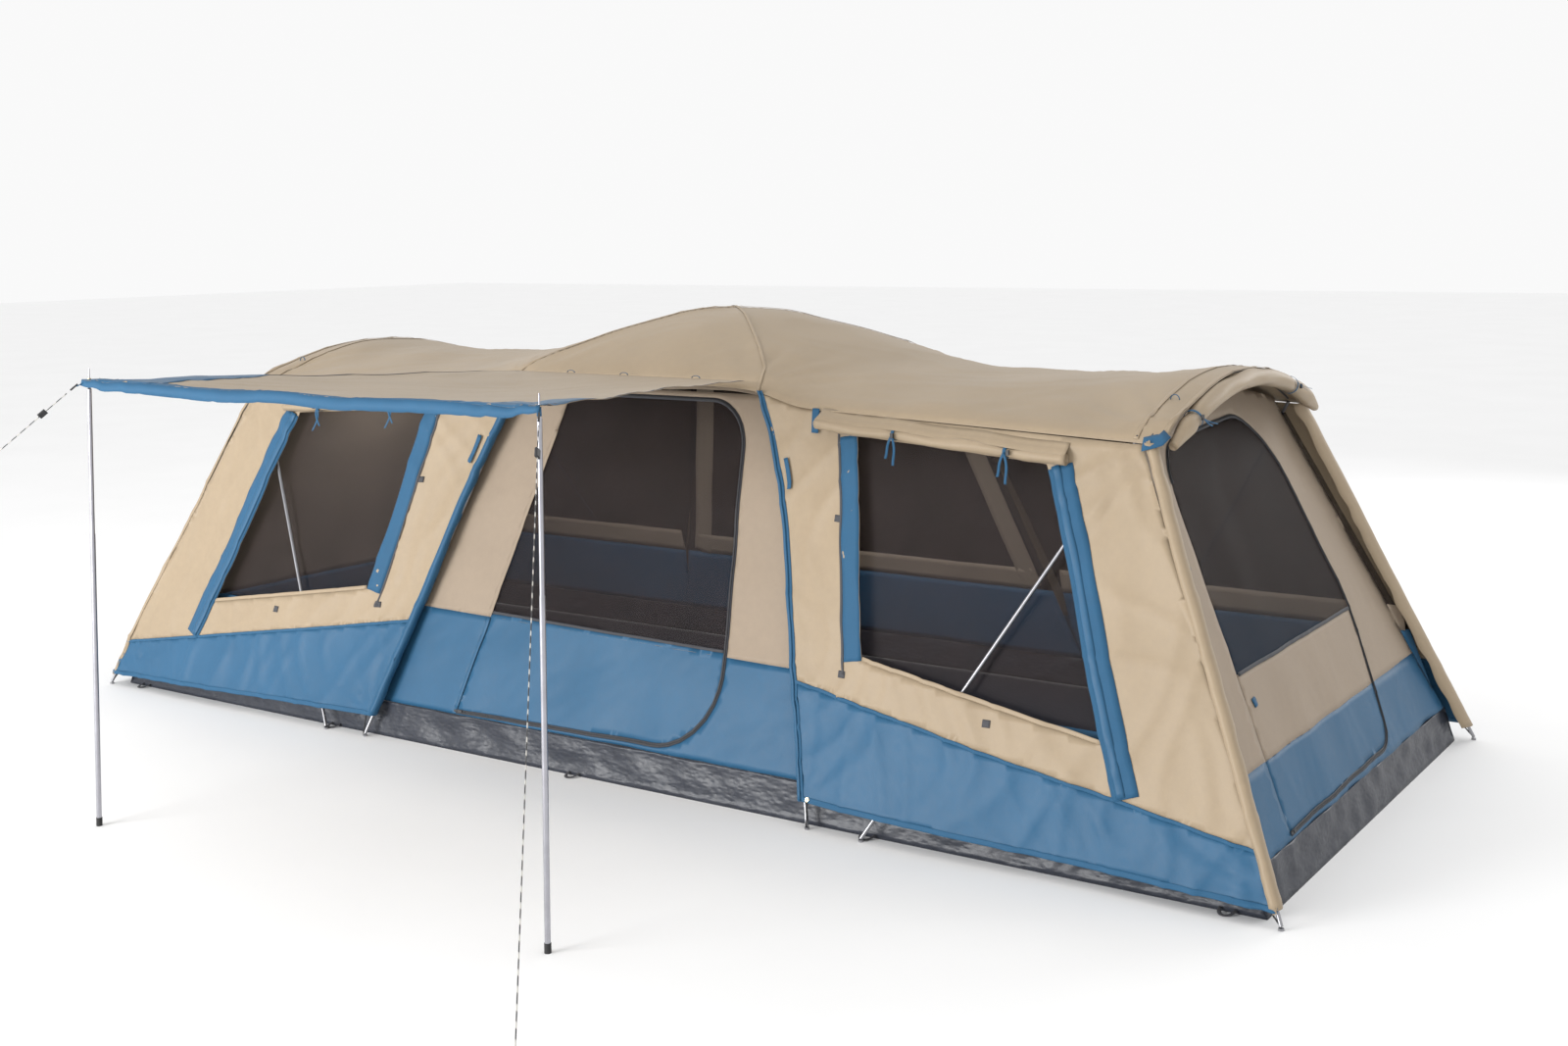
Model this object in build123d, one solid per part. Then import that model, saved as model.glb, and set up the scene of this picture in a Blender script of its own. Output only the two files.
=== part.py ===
from build123d import *
import math
import os

# Three-room family dome tent with a front awning on two poles.
# Millimetres. The origin is the centre of the floor's underside, +X runs along the
# tent towards the end door, -Y is the front with the awning, +Z is up.

# ---------------------------------------------------------------- driving dimensions
FLOOR_LENGTH = 6700.0
FLOOR_WIDTH = 2750.0
FLOOR_SHEET = 4.0
TUB_HEIGHT = 170.0
TUB_WALL = 3.0
CLOTH = 2.0

# Fly wall planes: |y| = FLY_FOOT - FLY_LEAN * z, and the same idea for the ends.
FLY_FOOT = 1460.0
FLY_LEAN = 0.295
FLY_END_FOOT = 3440.0
FLY_END_LEAN = 0.418
INNER_FOOT = 1400.0
CENTRE_FOOT = 1400.0
CENTRE_LEAN = 0.345
END_FOOT = 3385.0
END_LEAN = 0.45

# Roof
RIDGE_SADDLE = 1885.0
CENTRE_RISE = 265.0
END_RISE = 45.0
HUB_X = 2705.0
HUB_Z = 1715.0
ROOF_END = 2765.0
ROOF_SPLIT = 1000.0
GABLE_X = 2742.0
INNER_ROOF_DROP = 60.0
INNER_ROOF_INSET = 110.0

# Doors in the inner walls, as (along the wall, height) corners with their rounding
DOOR_GAP = 3.0
FRONT_DOOR = [(-800.0, 185.0), (800.0, 205.0), (620.0, 1748.0), (-480.0, 1748.0)]
FRONT_DOOR_RADII = [0.0, 330.0, 230.0, 0.0]
END_DOOR = [(-950.0, 190.0), (450.0, 205.0), (690.0, 760.0), (520.0, 1700.0), (-660.0, 1640.0)]
END_DOOR_RADII = [0.0, 200.0, 500.0, 380.0, 200.0]
ROOM_TOP = 1784.0

# Fly openings, hems and seams
WINDOW_SILL_INNER = 710.0
WINDOW_SILL_OUTER = 533.0
WINDOW_TOP_INNER = 1644.0
WINDOW_TOP_OUTER = 1580.0
HEM_INNER = 100.0
HEM_OUTER = 62.0
SEAM_GAP = 1.0
SEAM_AT_POLE = 585.0
EAVE_GAP = 12.0
EYELET_X = 1350.0
COVER_ROLL_RADIUS = 26.0
COVER_ROLL_STANDOFF = 34.0
END_ROLL_RADIUS = 36.0
END_ROLL_X = 2800.0

# Poles
LEG_RADIUS = 8.0
ARCH_RADIUS = 5.0
CENTRE_FOOT_X = 1354.0
CENTRE_FOOT_Y = 1431.0
INNER_LEG_FOOT_X = 1632.0
LEG_INSET = 17.0

# Awning
AWNING_HINGE_Z = 1862.0
AWNING_HINGE_Y = 925.0
AWNING_HINGE_HALF = 700.0
AWNING_POLE_X = 1297.0
AWNING_POLE_Y = 3030.0
AWNING_EYELET_Z = 1957.0
EYELET_HOLE_RADIUS = 5.0
UPPER_TUBE_RADIUS = 9.5
LOWER_TUBE_RADIUS = 11.1
TUBE_CLEARANCE = 0.08
UPPER_TUBE_TOP = 1912.0
UPPER_TUBE_BOTTOM = 1100.0
LOWER_TUBE_TOP = 1280.0
ROLLED_RING_Z = 623.0
ROLLED_RING_HEIGHT = 4.0
SPIGOT_RADIUS = 3.0
SPIGOT_TOP = 2001.0

# Guy ropes: the peg stands where the rope's line meets the ground
GUY_RADIUS = 2.0
PEG_X = 2715.0
PEG_Y = 4784.0
GUY_HEAD_LENGTH = 720.0

SIDES = {"right": 1, "left": -1}

os.makedirs("parts", exist_ok=True)


# ---------------------------------------------------------------- helpers
def save(name, *pieces):
    """Write one node from its solids."""
    solids = [solid for piece in pieces for solid in piece.solids()]
    export_step(Compound(children=solids), f"parts/{name}.step")


def fly_y(z):
    """Distance of the fly's front and back wall from the ridge line at height z."""
    return FLY_FOOT - FLY_LEAN * z


def fly_end_x(z):
    """Outer edge of the fly's walls at height z."""
    return FLY_END_FOOT - FLY_END_LEAN * z


def centre_pole_x(z):
    """The line that the centre dome's poles follow up the front wall."""
    return 1340.0 - 0.285 * z


def window_inner_x(z):
    return 1661.0 - 0.193 * z


def window_outer_x(z):
    return 2853.0 - 0.356 * z


def seam_z(x):
    """Height of the seam between the blue band and the tan wall."""
    return 582.0 - 0.1556 * (x - 1202.0)


def eave_z(x):
    """Height where the roof meets the wall."""
    centre = 70.0 * math.exp(-((abs(x) / 900.0) ** 8))
    slope = 75.0 * max(0.0, abs(x) - 760.0) / (HUB_X - 760.0)
    return 1790.0 + centre - slope


def ridge_z(x):
    """Height of the roof along its middle."""
    dome = CENTRE_RISE * math.exp(-((abs(x) / 850.0) ** 2.6))
    end = END_RISE * math.exp(-(((abs(x) - HUB_X) / 260.0) ** 2))
    return RIDGE_SADDLE + dome + end


def roof_point(x, side, drop=0.0, inset=0.0):
    """A point of the roof: side runs from -1 at the front eave to 1 at the back."""
    eave = eave_z(x)
    height = eave + (ridge_z(x) - eave) * (1.0 - side * side)
    return Vector(x, side * (fly_y(eave) - inset), height - drop)


def roof_sheet(x_from, x_to, columns, drop=0.0, inset=0.0):
    """One curved roof panel between two stations."""
    rows = []
    for column in range(columns + 1):
        x = x_from + (x_to - x_from) * column / columns
        rows.append([roof_point(x, -1.0 + row / 8.0, drop + CLOTH, inset) for row in range(17)])
    face = Face.make_surface_from_array_of_points(rows, tol=0.5)
    if face.normal_at().Z < 0:
        face = -face
    return Solid.thicken(face, CLOTH)


def outline(points):
    return make_face(Polyline(*points, close=True))


def cloth(points, towards, thickness=CLOTH):
    """A flat cloth panel: its outline in space, thickened towards a point."""
    face = outline(points)
    normal = face.faces()[0].normal_at()
    if normal.dot(Vector(*towards) - face.center()) < 0:
        normal = -normal
    return extrude(face, amount=thickness, dir=normal)


def front(x, z, foot=FLY_FOOT, lean=FLY_LEAN, face=-1):
    """A point on a leaning long wall: face -1 is the front, 1 the back."""
    return (x, face * (foot - lean * z), z)


def end(y, z, foot=END_FOOT, lean=END_LEAN, face=1):
    """A point on a leaning end wall."""
    return (face * (foot - lean * z), y, z)


def rod(start, finish, radius):
    """A straight round bar between two points."""
    axis = Vector(*finish) - Vector(*start)
    plane = Plane(origin=Vector(*start), z_dir=axis)
    return extrude(plane * Circle(radius), amount=axis.length)


def swept(path, radius):
    start = path @ 0
    return sweep(Plane(origin=start, z_dir=path % 0) * Circle(radius), path=path)


INSIDE = (0, 0, 900)


# ---------------------------------------------------------------- floor
def make_floor():
    half_x = FLOOR_LENGTH / 2
    half_y = FLOOR_WIDTH / 2
    save("tub_floor", Pos(0, 0, FLOOR_SHEET / 2) * Box(FLOOR_LENGTH, FLOOR_WIDTH, FLOOR_SHEET))
    low = FLOOR_SHEET + 1.5
    lean = 27.0
    end_lean = 42.0
    walls = []
    for face in (-1, 1):
        points = [
            (-half_x, face * half_y, low),
            (half_x, face * half_y, low),
            (half_x - end_lean, face * (half_y - lean), TUB_HEIGHT),
            (end_lean - half_x, face * (half_y - lean), TUB_HEIGHT),
        ]
        walls.append(cloth(points, INSIDE, TUB_WALL))
        gap = 2 * TUB_WALL
        points = [
            (face * half_x, gap - half_y, low),
            (face * half_x, half_y - gap, low),
            (face * (half_x - end_lean), half_y - lean - gap, TUB_HEIGHT),
            (face * (half_x - end_lean), lean + gap - half_y, TUB_HEIGHT),
        ]
        walls.append(cloth(points, INSIDE, TUB_WALL))
    save("tub_walls", *walls)


# ---------------------------------------------------------------- inner tent


def lean_plane(foot, lean, across, outward):
    """Plane of a leaning wall, with local y running up the slope from the ground."""
    stretch = math.hypot(1.0, lean)
    normal = Vector(*outward) + Vector(0, 0, lean)
    origin = Vector(*outward) * foot
    return Plane(origin=origin, x_dir=across, z_dir=normal), stretch


def rounded(points, radii, stretch):
    scaled = [(x, z * stretch) for x, z in points]
    return make_face(FilletPolyline(*scaled, radius=radii, close=True))


def grown(points, radii, stretch, gap):
    """The outline moved outward by a gap, for the hole around a door."""
    return offset(rounded(points, radii, stretch), amount=gap, kind=Kind.INTERSECTION)


def make_inner():
    plane, stretch = lean_plane(CENTRE_FOOT, CENTRE_LEAN, (1, 0, 0), (0, -1, 0))
    low = TUB_HEIGHT + 3.0
    wall = make_face(Polyline(
        (-1240, low * stretch), (1240, low * stretch), (800, 1700 * stretch),
        (700, ROOM_TOP * stretch), (-700, ROOM_TOP * stretch), (-800, 1700 * stretch),
        close=True))
    hole = grown(FRONT_DOOR, FRONT_DOOR_RADII, stretch, DOOR_GAP)
    save("inner_front_centre", extrude(plane * (wall - hole), amount=CLOTH))
    door = rounded(FRONT_DOOR, FRONT_DOOR_RADII, stretch)
    save("front_door", extrude(plane * door, amount=CLOTH))

    plane, stretch = lean_plane(END_FOOT, END_LEAN, (0, 1, 0), (1, 0, 0))
    wall = make_face(Polyline(
        (-1325, low * stretch), (1325, low * stretch), (875, 1720 * stretch),
        (450, 1800 * stretch), (-450, 1800 * stretch), (-875, 1720 * stretch),
        close=True))
    hole = grown(END_DOOR, END_DOOR_RADII, stretch, DOOR_GAP)
    save("inner_end_right", extrude(plane * (wall - hole), amount=CLOTH))
    door = rounded(END_DOOR, END_DOOR_RADII, stretch)
    save("end_door", extrude(plane * door, amount=CLOTH))

    left = [end(-1325, low, face=-1), end(1325, low, face=-1), end(875, 1720, face=-1),
            end(450, 1800, face=-1), end(-450, 1800, face=-1), end(-875, 1720, face=-1)]
    save("inner_end_left", cloth(left, (-9000, 0, 900)))

    for name, side in SIDES.items():
        corners = [(1340, low), (3285, low), (2640, 1640), (895, 1640)]
        points = [front(side * x, z, foot=INNER_FOOT) for x, z in corners]
        save(f"inner_front_{name}", cloth(points, (0, -9000, 900)))
    back = []
    for side in SIDES.values():
        points = [front(side * x, z, foot=INNER_FOOT, face=1) for x, z in corners]
        back.append(cloth(points, (0, 9000, 900)))
    middle = [(-1240, low), (1240, low), (800, 1700), (700, ROOM_TOP), (-700, ROOM_TOP), (-800, 1700)]
    points = [front(x, z, CENTRE_FOOT, CENTRE_LEAN, 1) for x, z in middle]
    back.append(cloth(points, (0, 9000, 900)))
    save("inner_back", *back)
    save("inner_roof", roof_sheet(-2560, 2560, 32, drop=INNER_ROOF_DROP, inset=INNER_ROOF_INSET))


# ---------------------------------------------------------------- fly


def outer_seam_z():
    """Height where the seam meets the fly's outer edge."""
    z = 250.0
    for _ in range(8):
        z = seam_z(fly_end_x(z))
    return z


def make_fly_front(name, side):
    seam_out = outer_seam_z()
    edge_seam = centre_pole_x(SEAM_AT_POLE)
    seam_in = seam_z(edge_seam)
    edge = [(998, 1200), (850, 1600)]
    eaves = [(x, eave_z(x) - EAVE_GAP) for x in (775, 850, 925, 1000, 1100)]
    hub = (fly_end_x(HUB_Z) - 8, eave_z(2715) - EAVE_GAP)
    sill_in = window_inner_x(WINDOW_SILL_INNER)
    sill_out = window_outer_x(WINDOW_SILL_OUTER)

    def panel(node, corners):
        points = [front(side * x, z) for x, z in corners]
        save(node, cloth(points, INSIDE))

    panel(f"fly_band_{name}", [
        (centre_pole_x(HEM_INNER), HEM_INNER), (fly_end_x(HEM_OUTER), HEM_OUTER),
        (fly_end_x(seam_out), seam_out), (edge_seam, seam_in)])
    low_in = seam_z(window_inner_x(520.0)) + SEAM_GAP
    low_out = seam_z(window_outer_x(350.0)) + SEAM_GAP
    foot_in = window_inner_x(520.0)
    foot_out = window_outer_x(350.0)
    panel(f"fly_sill_{name}", [
        (foot_in, low_in), (foot_out, low_out), (sill_out, WINDOW_SILL_OUTER),
        (sill_in, WINDOW_SILL_INNER)])
    top_in = window_inner_x(WINDOW_TOP_INNER)
    panel(f"fly_inner_panel_{name}", [
        (edge_seam, seam_in + SEAM_GAP), (foot_in - SEAM_GAP, low_in),
        (sill_in - SEAM_GAP, WINDOW_SILL_INNER), (top_in - SEAM_GAP, WINDOW_TOP_INNER),
        (top_in - SEAM_GAP, eave_z(top_in) - EAVE_GAP)] + eaves[::-1] + edge[::-1])
    top_out = window_outer_x(WINDOW_TOP_OUTER)
    panel(f"fly_outer_panel_{name}", [
        (foot_out + SEAM_GAP, low_out), (fly_end_x(seam_out) - 0.5, seam_out + SEAM_GAP), hub,
        (top_in, eave_z(top_in) - EAVE_GAP), (top_in, WINDOW_TOP_INNER), (top_out, WINDOW_TOP_OUTER),
        (sill_out + SEAM_GAP, WINDOW_SILL_OUTER)])

    # The window's weather cover, rolled up and tied along the top of the window.
    standoff = Vector(0, -COVER_ROLL_STANDOFF, 0)
    start = Vector(*front(side * 1140, 1690)) + standoff
    finish = Vector(*front(side * 2385, 1606)) + standoff
    save(f"window_cover_{name}", rod(start, finish, COVER_ROLL_RADIUS))


def blue_strip(line, width, side, offset_out):
    """A sewn flat strip that follows a line on the front fly wall."""
    strips = []
    for (x1, z1), (x2, z2) in zip(line, line[1:]):
        corners = [(x1, z1), (x1 + width, z1), (x2 + width, z2), (x2, z2)]
        points = [front(side * x, z, foot=FLY_FOOT + offset_out) for x, z in corners]
        strips.append(cloth(points, (0, -9000, 900), 1.0))
    return strips


def make_trim():
    strips = []
    for side in SIDES.values():
        edge = [(1306, 112), (1000, 1192)]
        strips += blue_strip(edge, 26.0, side, 1.0)
        inner = [(window_inner_x(z), z) for z in (712.0, 1640.0)]
        strips += blue_strip([(x - 96, z) for x, z in inner], 94.0, side, 1.0)
        outer = [(window_outer_x(z), z) for z in (535.0, 1570.0)]
        strips += blue_strip([(x + 2, z) for x, z in outer], 112.0, side, 1.0)
    save("blue_trim", *strips)


def make_fly_back():
    low = 75.0
    high = eave_z(2700) - EAVE_GAP
    seam = 400.0
    band = [(-fly_end_x(low), low), (fly_end_x(low), low), (fly_end_x(seam), seam), (-fly_end_x(seam), seam)]
    save("fly_back_band", cloth([front(x, z, face=1) for x, z in band], INSIDE))
    seam += SEAM_GAP
    stations = [1100, 1000, 925, 850, 775, 700, 500]
    stations += [-x for x in reversed(stations)]
    top = [(x, eave_z(x) - EAVE_GAP) for x in stations]
    wall = [(-fly_end_x(seam), seam), (fly_end_x(seam), seam), (fly_end_x(high) - 8, high)]
    wall += top + [(8 - fly_end_x(high), high)]
    save("fly_back", cloth([front(x, z, face=1) for x, z in wall], INSIDE))


def make_fly_end():
    """The closed left end of the fly: a leaning wall and the gable above it."""
    low = HEM_OUTER
    high = HUB_Z - 25
    wall = [(-fly_end_x(z) - 3, y, z) for y, z in (
        (-fly_y(low), low), (fly_y(low), low), (fly_y(high) - 5, high), (5 - fly_y(high), high))]
    base = high + 2
    half = fly_y(base) - 22
    crown = ridge_z(GABLE_X) - 16
    foot = Line((-GABLE_X, -half, base), (-GABLE_X, half, base))
    arch = ThreePointArc((-GABLE_X, half, base), (-GABLE_X, 0, crown), (-GABLE_X, -half, base))
    gable = extrude(make_face(foot + arch), amount=CLOTH, dir=(-1, 0, 0))
    save("fly_end_left", cloth(wall, (-9000, 0, 900)), gable)


def make_roof():
    gap = 1.0
    save("fly_roof_centre", roof_sheet(gap - ROOF_SPLIT, ROOF_SPLIT - gap, 24))
    save("fly_roof_right", roof_sheet(ROOF_SPLIT, ROOF_END, 20))
    save("fly_roof_left", roof_sheet(-ROOF_END, -ROOF_SPLIT, 20))

    # The open end's panel is gathered under the edge of the roof and tied with toggles.
    half = fly_y(HUB_Z) - 45
    foot_z = 1668
    crown = (END_ROLL_X, 0, 1876)
    arch = ThreePointArc((END_ROLL_X, -half, foot_z), crown, (END_ROLL_X, half, foot_z))
    save("end_cover_roll", swept(arch, END_ROLL_RADIUS))


# ---------------------------------------------------------------- tent poles
def leg_y(z):
    """Pole axis inside the fly wall."""
    return fly_y(z) - LEG_INSET


def make_side_poles(name, side):
    """Two arches that lean together over each end room, on steel legs."""
    legs = []
    tops = {"outer": (2722.0, 3425.0), "inner": (2662.0, INNER_LEG_FOOT_X)}
    for arch_name, (top_x, foot_x) in tops.items():
        top_z = HUB_Z - 25
        for face in (-1, 1):
            foot = (side * foot_x, face * leg_y(0), 14)
            top = (side * top_x, face * leg_y(top_z), top_z)
            legs.append(rod(foot, top, LEG_RADIUS))
        half = leg_y(top_z)
        start = (side * top_x, -half + 6, top_z + 18)
        finish = (side * top_x, half - 6, top_z + 18)
        crown = (side * top_x, 0, ridge_z(top_x) - 24)
        save(f"{name}_arch_{arch_name}", swept(ThreePointArc(start, crown, finish), ARCH_RADIUS))
    save(f"steel_legs_{name}", *legs)


def make_centre_poles():
    """Two poles that cross over the middle room, on four steel legs."""
    legs = []
    knee = Vector(929, 964, 1400)
    shoulder = Vector(850, 898, 1635)
    for face_x in (-1, 1):
        for face_y in (-1, 1):
            foot = (face_x * CENTRE_FOOT_X, face_y * CENTRE_FOOT_Y, 14)
            top = (face_x * knee.X, face_y * knee.Y, knee.Z)
            legs.append(rod(foot, top, LEG_RADIUS))
    save("steel_legs_centre", *legs)
    lift = 12.0
    for name, mirror, level in (("a", 1, 0.0), ("b", -1, -lift)):
        crown_z = ridge_z(0) - 30 + level
        low = (mirror * knee.X, -knee.Y, knee.Z + 10)
        high = (mirror * 560, -600, 1955 + level)
        middle = [low, (mirror * shoulder.X, -shoulder.Y, shoulder.Z),
                  (mirror * 772, -848, 1796 + level), high, (mirror * 180, -190, crown_z)]
        other = [(-x, -y, z) for x, y, z in reversed(middle)]
        bends = [300, 150, 400, 400]
        path = FilletPolyline(*(middle + other), radius=bends + bends[::-1])
        save(f"centre_arch_{name}", swept(path, ARCH_RADIUS))


def make_pins():
    """Ring and pin that locates the foot of every leg: a pin, a collar and a base plate."""
    feet = [(x, y * CENTRE_FOOT_Y) for x in (-CENTRE_FOOT_X, CENTRE_FOOT_X) for y in (-1, 1)]
    for foot_x in (INNER_LEG_FOOT_X, 3425.0):
        feet += [(x, y * leg_y(0)) for x in (-foot_x, foot_x) for y in (-1, 1)]
    pins = []
    for x, y in feet:
        pins.append(Pos(x, y, 4.5) * Cylinder(11, 9))
    save("pole_feet", *pins)


# ---------------------------------------------------------------- awning
def make_awning():
    rise = AWNING_EYELET_Z - AWNING_HINGE_Z
    depth = AWNING_POLE_Y - AWNING_HINGE_Y
    slope = rise / depth
    margin = 22.0
    x_out = AWNING_POLE_X + margin
    y_out = AWNING_POLE_Y + margin
    low = 1.0
    plane = Plane(origin=(0, -AWNING_POLE_Y, AWNING_EYELET_Z - low), x_dir=(1, 0, 0),
                  z_dir=(0, slope, 1))
    stretch = math.hypot(1.0, slope)
    inner = depth * stretch
    sheet = make_face(Polyline(
        (-x_out, -margin), (x_out, -margin), (AWNING_HINGE_HALF, inner),
        (-AWNING_HINGE_HALF, inner), close=True))
    panel = extrude(plane * sheet, amount=CLOTH)
    rings = []
    for side in (-1, 1):
        spot = plane * Pos(side * AWNING_POLE_X, 0, 0)
        panel -= spot * Cylinder(8.0, 20)
        ring = Cylinder(8.0, CLOTH + 2.0) - Cylinder(EYELET_HOLE_RADIUS, 20)
        rings.append(spot * Pos(0, 0, low) * ring)
    save("awning_panel", panel)
    save("awning_eyelets", *rings)


def make_awning_poles():
    for name, side in SIDES.items():
        place = Pos(side * AWNING_POLE_X, -AWNING_POLE_Y, 0)
        tube_length = UPPER_TUBE_TOP - UPPER_TUBE_BOTTOM
        tube = Pos(0, 0, UPPER_TUBE_BOTTOM + tube_length / 2) * Cylinder(UPPER_TUBE_RADIUS, tube_length)
        bore_length = tube_length - 30
        tube -= Pos(0, 0, UPPER_TUBE_BOTTOM + bore_length / 2) * Cylinder(UPPER_TUBE_RADIUS - 1, bore_length)
        shoulder = Pos(0, 0, UPPER_TUBE_TOP + 4) * Cone(UPPER_TUBE_RADIUS, SPIGOT_RADIUS, 8)
        spigot_length = SPIGOT_TOP - UPPER_TUBE_TOP
        spigot = Pos(0, 0, UPPER_TUBE_TOP + spigot_length / 2) * Cylinder(SPIGOT_RADIUS, spigot_length)
        save(f"pole_upper_{name}", place * (tube + shoulder + spigot))

        low = 5.0
        length = LOWER_TUBE_TOP - low
        bore = UPPER_TUBE_RADIUS + TUBE_CLEARANCE
        lower = Pos(0, 0, low + length / 2) * Cylinder(LOWER_TUBE_RADIUS, length)
        lower += Pos(0, 0, ROLLED_RING_Z) * Cylinder(LOWER_TUBE_RADIUS + 0.5, ROLLED_RING_HEIGHT)
        lower -= Pos(0, 0, low + length / 2) * Cylinder(bore, length)
        save(f"pole_lower_{name}", place * lower)

        cap = Pos(0, 0, 18) * Cylinder(13.0, 36)
        cap -= Pos(0, 0, 5 + 20) * Cylinder(LOWER_TUBE_RADIUS + 0.05, 40)
        cap += Pos(0, 0, 9) * Cylinder(bore - 0.2, 8)
        save(f"pole_cap_{name}", place * cap)


# ---------------------------------------------------------------- guy ropes
def make_guys():
    hooks = []
    pegs = []
    for name, side in SIDES.items():
        corner = Vector(side * (AWNING_POLE_X + 30), -(AWNING_POLE_Y + 36), AWNING_EYELET_Z - 22)
        peg = Vector(side * PEG_X, -PEG_Y, 42)
        along = (peg - corner).normalized()
        # The rope's head moves with the awning's corner; the rest stays with the peg.
        join = corner + along * GUY_HEAD_LENGTH
        save(f"guy_head_{name}", rod(corner + along * 60, join, GUY_RADIUS))
        save(f"guy_rope_{name}", rod(join + along * 4, peg - along * 14, GUY_RADIUS))
        # A hook on the rope's end holds the loop at the awning's corner.
        hooks.append(rod(corner, corner + along * 39.5, 4.0))
        runner_at = corner + along * 190
        plane = Plane(origin=runner_at - along * 18, z_dir=along)
        body = extrude(plane * RectangleRounded(26, 12, 4), amount=36)
        body -= extrude(plane * Circle(GUY_RADIUS + 0.6), amount=36)
        save(f"guy_runner_{name}", body)
        # Steel peg standing at the end of the rope, its tip at ground level.
        lean = Vector(side * 0.30, -0.37, 1).normalized()
        tip = peg - lean * (peg.Z / lean.Z)
        shaft = rod(tip + Vector(0, 0, 3), tip + lean * 118, 4.0)
        hook = rod(tip + lean * 108 - along * 4.5, tip + lean * 108 - along * 30, 3.5)
        eye = Pos(*(peg - along * 9)) * Sphere(5)
        pegs += [shaft + hook, eye - shaft]
    save("guy_hooks", *hooks)
    save("guy_pegs", *pegs)


# ---------------------------------------------------------------- small hardware


def make_eyelets():
    """Brass eyelets near the fly's hem corners, where it is pegged and tied down."""
    rings = []
    for side in (-1, 1):
        for face in (-1, 1):
            for x, z in ((fly_end_x(92) - 45, 92), (EYELET_X, 125)):
                if face == 1 and x == EYELET_X:
                    continue
                point = Vector(*front(side * x, z, face=face))
                normal = Vector(0, face, FLY_LEAN).normalized()
                plane = Plane(origin=point + normal * 0.3, z_dir=normal)
                rings.append(extrude(plane * (Circle(9) - Circle(4.5)), amount=1.5))
    save("fly_eyelets", *rings)


def make_sliders():
    """Zip sliders at the start of each door's bottom zip, with flat pull tabs."""
    doors = {
        "front_zip_slider": (CENTRE_FOOT, CENTRE_LEAN, (1, 0, 0), (0, -1, 0), -770, 187),
        "end_zip_slider": (END_FOOT, END_LEAN, (0, 1, 0), (1, 0, 0), -920, 193),
    }
    for name, (foot, lean, across, outward, at, z) in doors.items():
        plane, stretch = lean_plane(foot, lean, across, outward)
        body = plane * Pos(at, z * stretch, CLOTH + 4.5) * Box(26, 12, 6)
        tab = plane * Pos(at - 26, z * stretch, CLOTH + 4.5) * Box(30, 9, 2)
        save(name, body + tab)


def make_toggles():
    """Toggles that hold the ties round the rolled covers."""
    toggles = []
    for side in (-1, 1):
        for x, z in ((1560, 1662), (2130, 1623)):
            point = Vector(*front(side * x, z)) + Vector(0, -COVER_ROLL_STANDOFF - 33, 0)
            toggles.append(Pos(*point) * Box(14, 10, 22))
    for y, z in ((-700, 1800), (560, 1830)):
        toggles.append(Pos(2852, y, z - 25) * Box(10, 14, 22))
    save("toggles", *toggles)


make_floor()
make_inner()
for room, sign in SIDES.items():
    make_fly_front(room, sign)
    make_side_poles(room, sign)
make_trim()
make_fly_back()
make_fly_end()
make_roof()
make_centre_poles()
make_pins()
make_awning()
make_awning_poles()
make_guys()
make_eyelets()
make_sliders()
make_toggles()
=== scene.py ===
# The looks of a three-room family dome tent with a front awning.
# Metres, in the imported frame: +X runs to the end door, -Y is the front, +Z is up.
import math
import bpy
import numpy as np
from mathutils import Matrix, Vector
from mathutils.geometry import delaunay_2d_cdt


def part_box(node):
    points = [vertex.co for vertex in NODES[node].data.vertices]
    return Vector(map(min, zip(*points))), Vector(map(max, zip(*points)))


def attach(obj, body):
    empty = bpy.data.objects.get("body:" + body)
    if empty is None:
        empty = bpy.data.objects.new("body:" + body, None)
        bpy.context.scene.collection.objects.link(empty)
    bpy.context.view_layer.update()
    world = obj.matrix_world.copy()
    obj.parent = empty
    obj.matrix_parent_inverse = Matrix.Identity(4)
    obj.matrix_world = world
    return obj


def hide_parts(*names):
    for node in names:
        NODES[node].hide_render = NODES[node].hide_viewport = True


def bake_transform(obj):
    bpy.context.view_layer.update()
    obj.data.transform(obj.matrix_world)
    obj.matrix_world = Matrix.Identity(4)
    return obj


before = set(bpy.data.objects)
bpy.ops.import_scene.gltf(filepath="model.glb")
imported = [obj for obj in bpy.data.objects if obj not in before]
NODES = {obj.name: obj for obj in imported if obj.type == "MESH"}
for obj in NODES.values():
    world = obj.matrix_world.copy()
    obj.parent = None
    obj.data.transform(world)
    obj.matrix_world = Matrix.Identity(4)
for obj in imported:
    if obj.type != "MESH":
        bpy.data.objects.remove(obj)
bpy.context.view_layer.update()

# ---------------------------------------------------------------- the tent's own dimensions
FLY_FOOT, FLY_LEAN = 1.460, 0.295
FLY_END_FOOT, FLY_END_LEAN = 3.440, 0.418
INNER_FOOT = 1.400
CENTRE_FOOT, CENTRE_LEAN = 1.400, 0.345
END_FOOT, END_LEAN = 3.385, 0.450
TUB_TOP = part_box("tub_walls")[1].z
FLOOR_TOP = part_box("tub_floor")[1].z
FLOOR_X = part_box("tub_floor")[1].x
FLOOR_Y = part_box("tub_floor")[1].y
ROOF_END = 2.790
ROOF_WIDTH = 0.92
SHOULDER = 0.030
GABLE_X = 2.742
HUB_X = 2.705
HUB_Z = 1.715
HINGE_Y, HINGE_Z, HINGE_HALF = -0.925, 1.862, 0.700
AWNING_OUT_X, AWNING_OUT_Y = 1.319, -3.052
AWNING_EDGE_Z = 1.957
CLOTH, TAPE = 0.0012, 0.0008
FAR = 9.0
SIDES = {"right": 1, "left": -1}


def fly_y(z):
    return FLY_FOOT - FLY_LEAN * z


def fly_end_x(z):
    return FLY_END_FOOT - FLY_END_LEAN * z


def seam_z(x):
    return 0.582 - 0.1556 * (x - 1.202)


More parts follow.
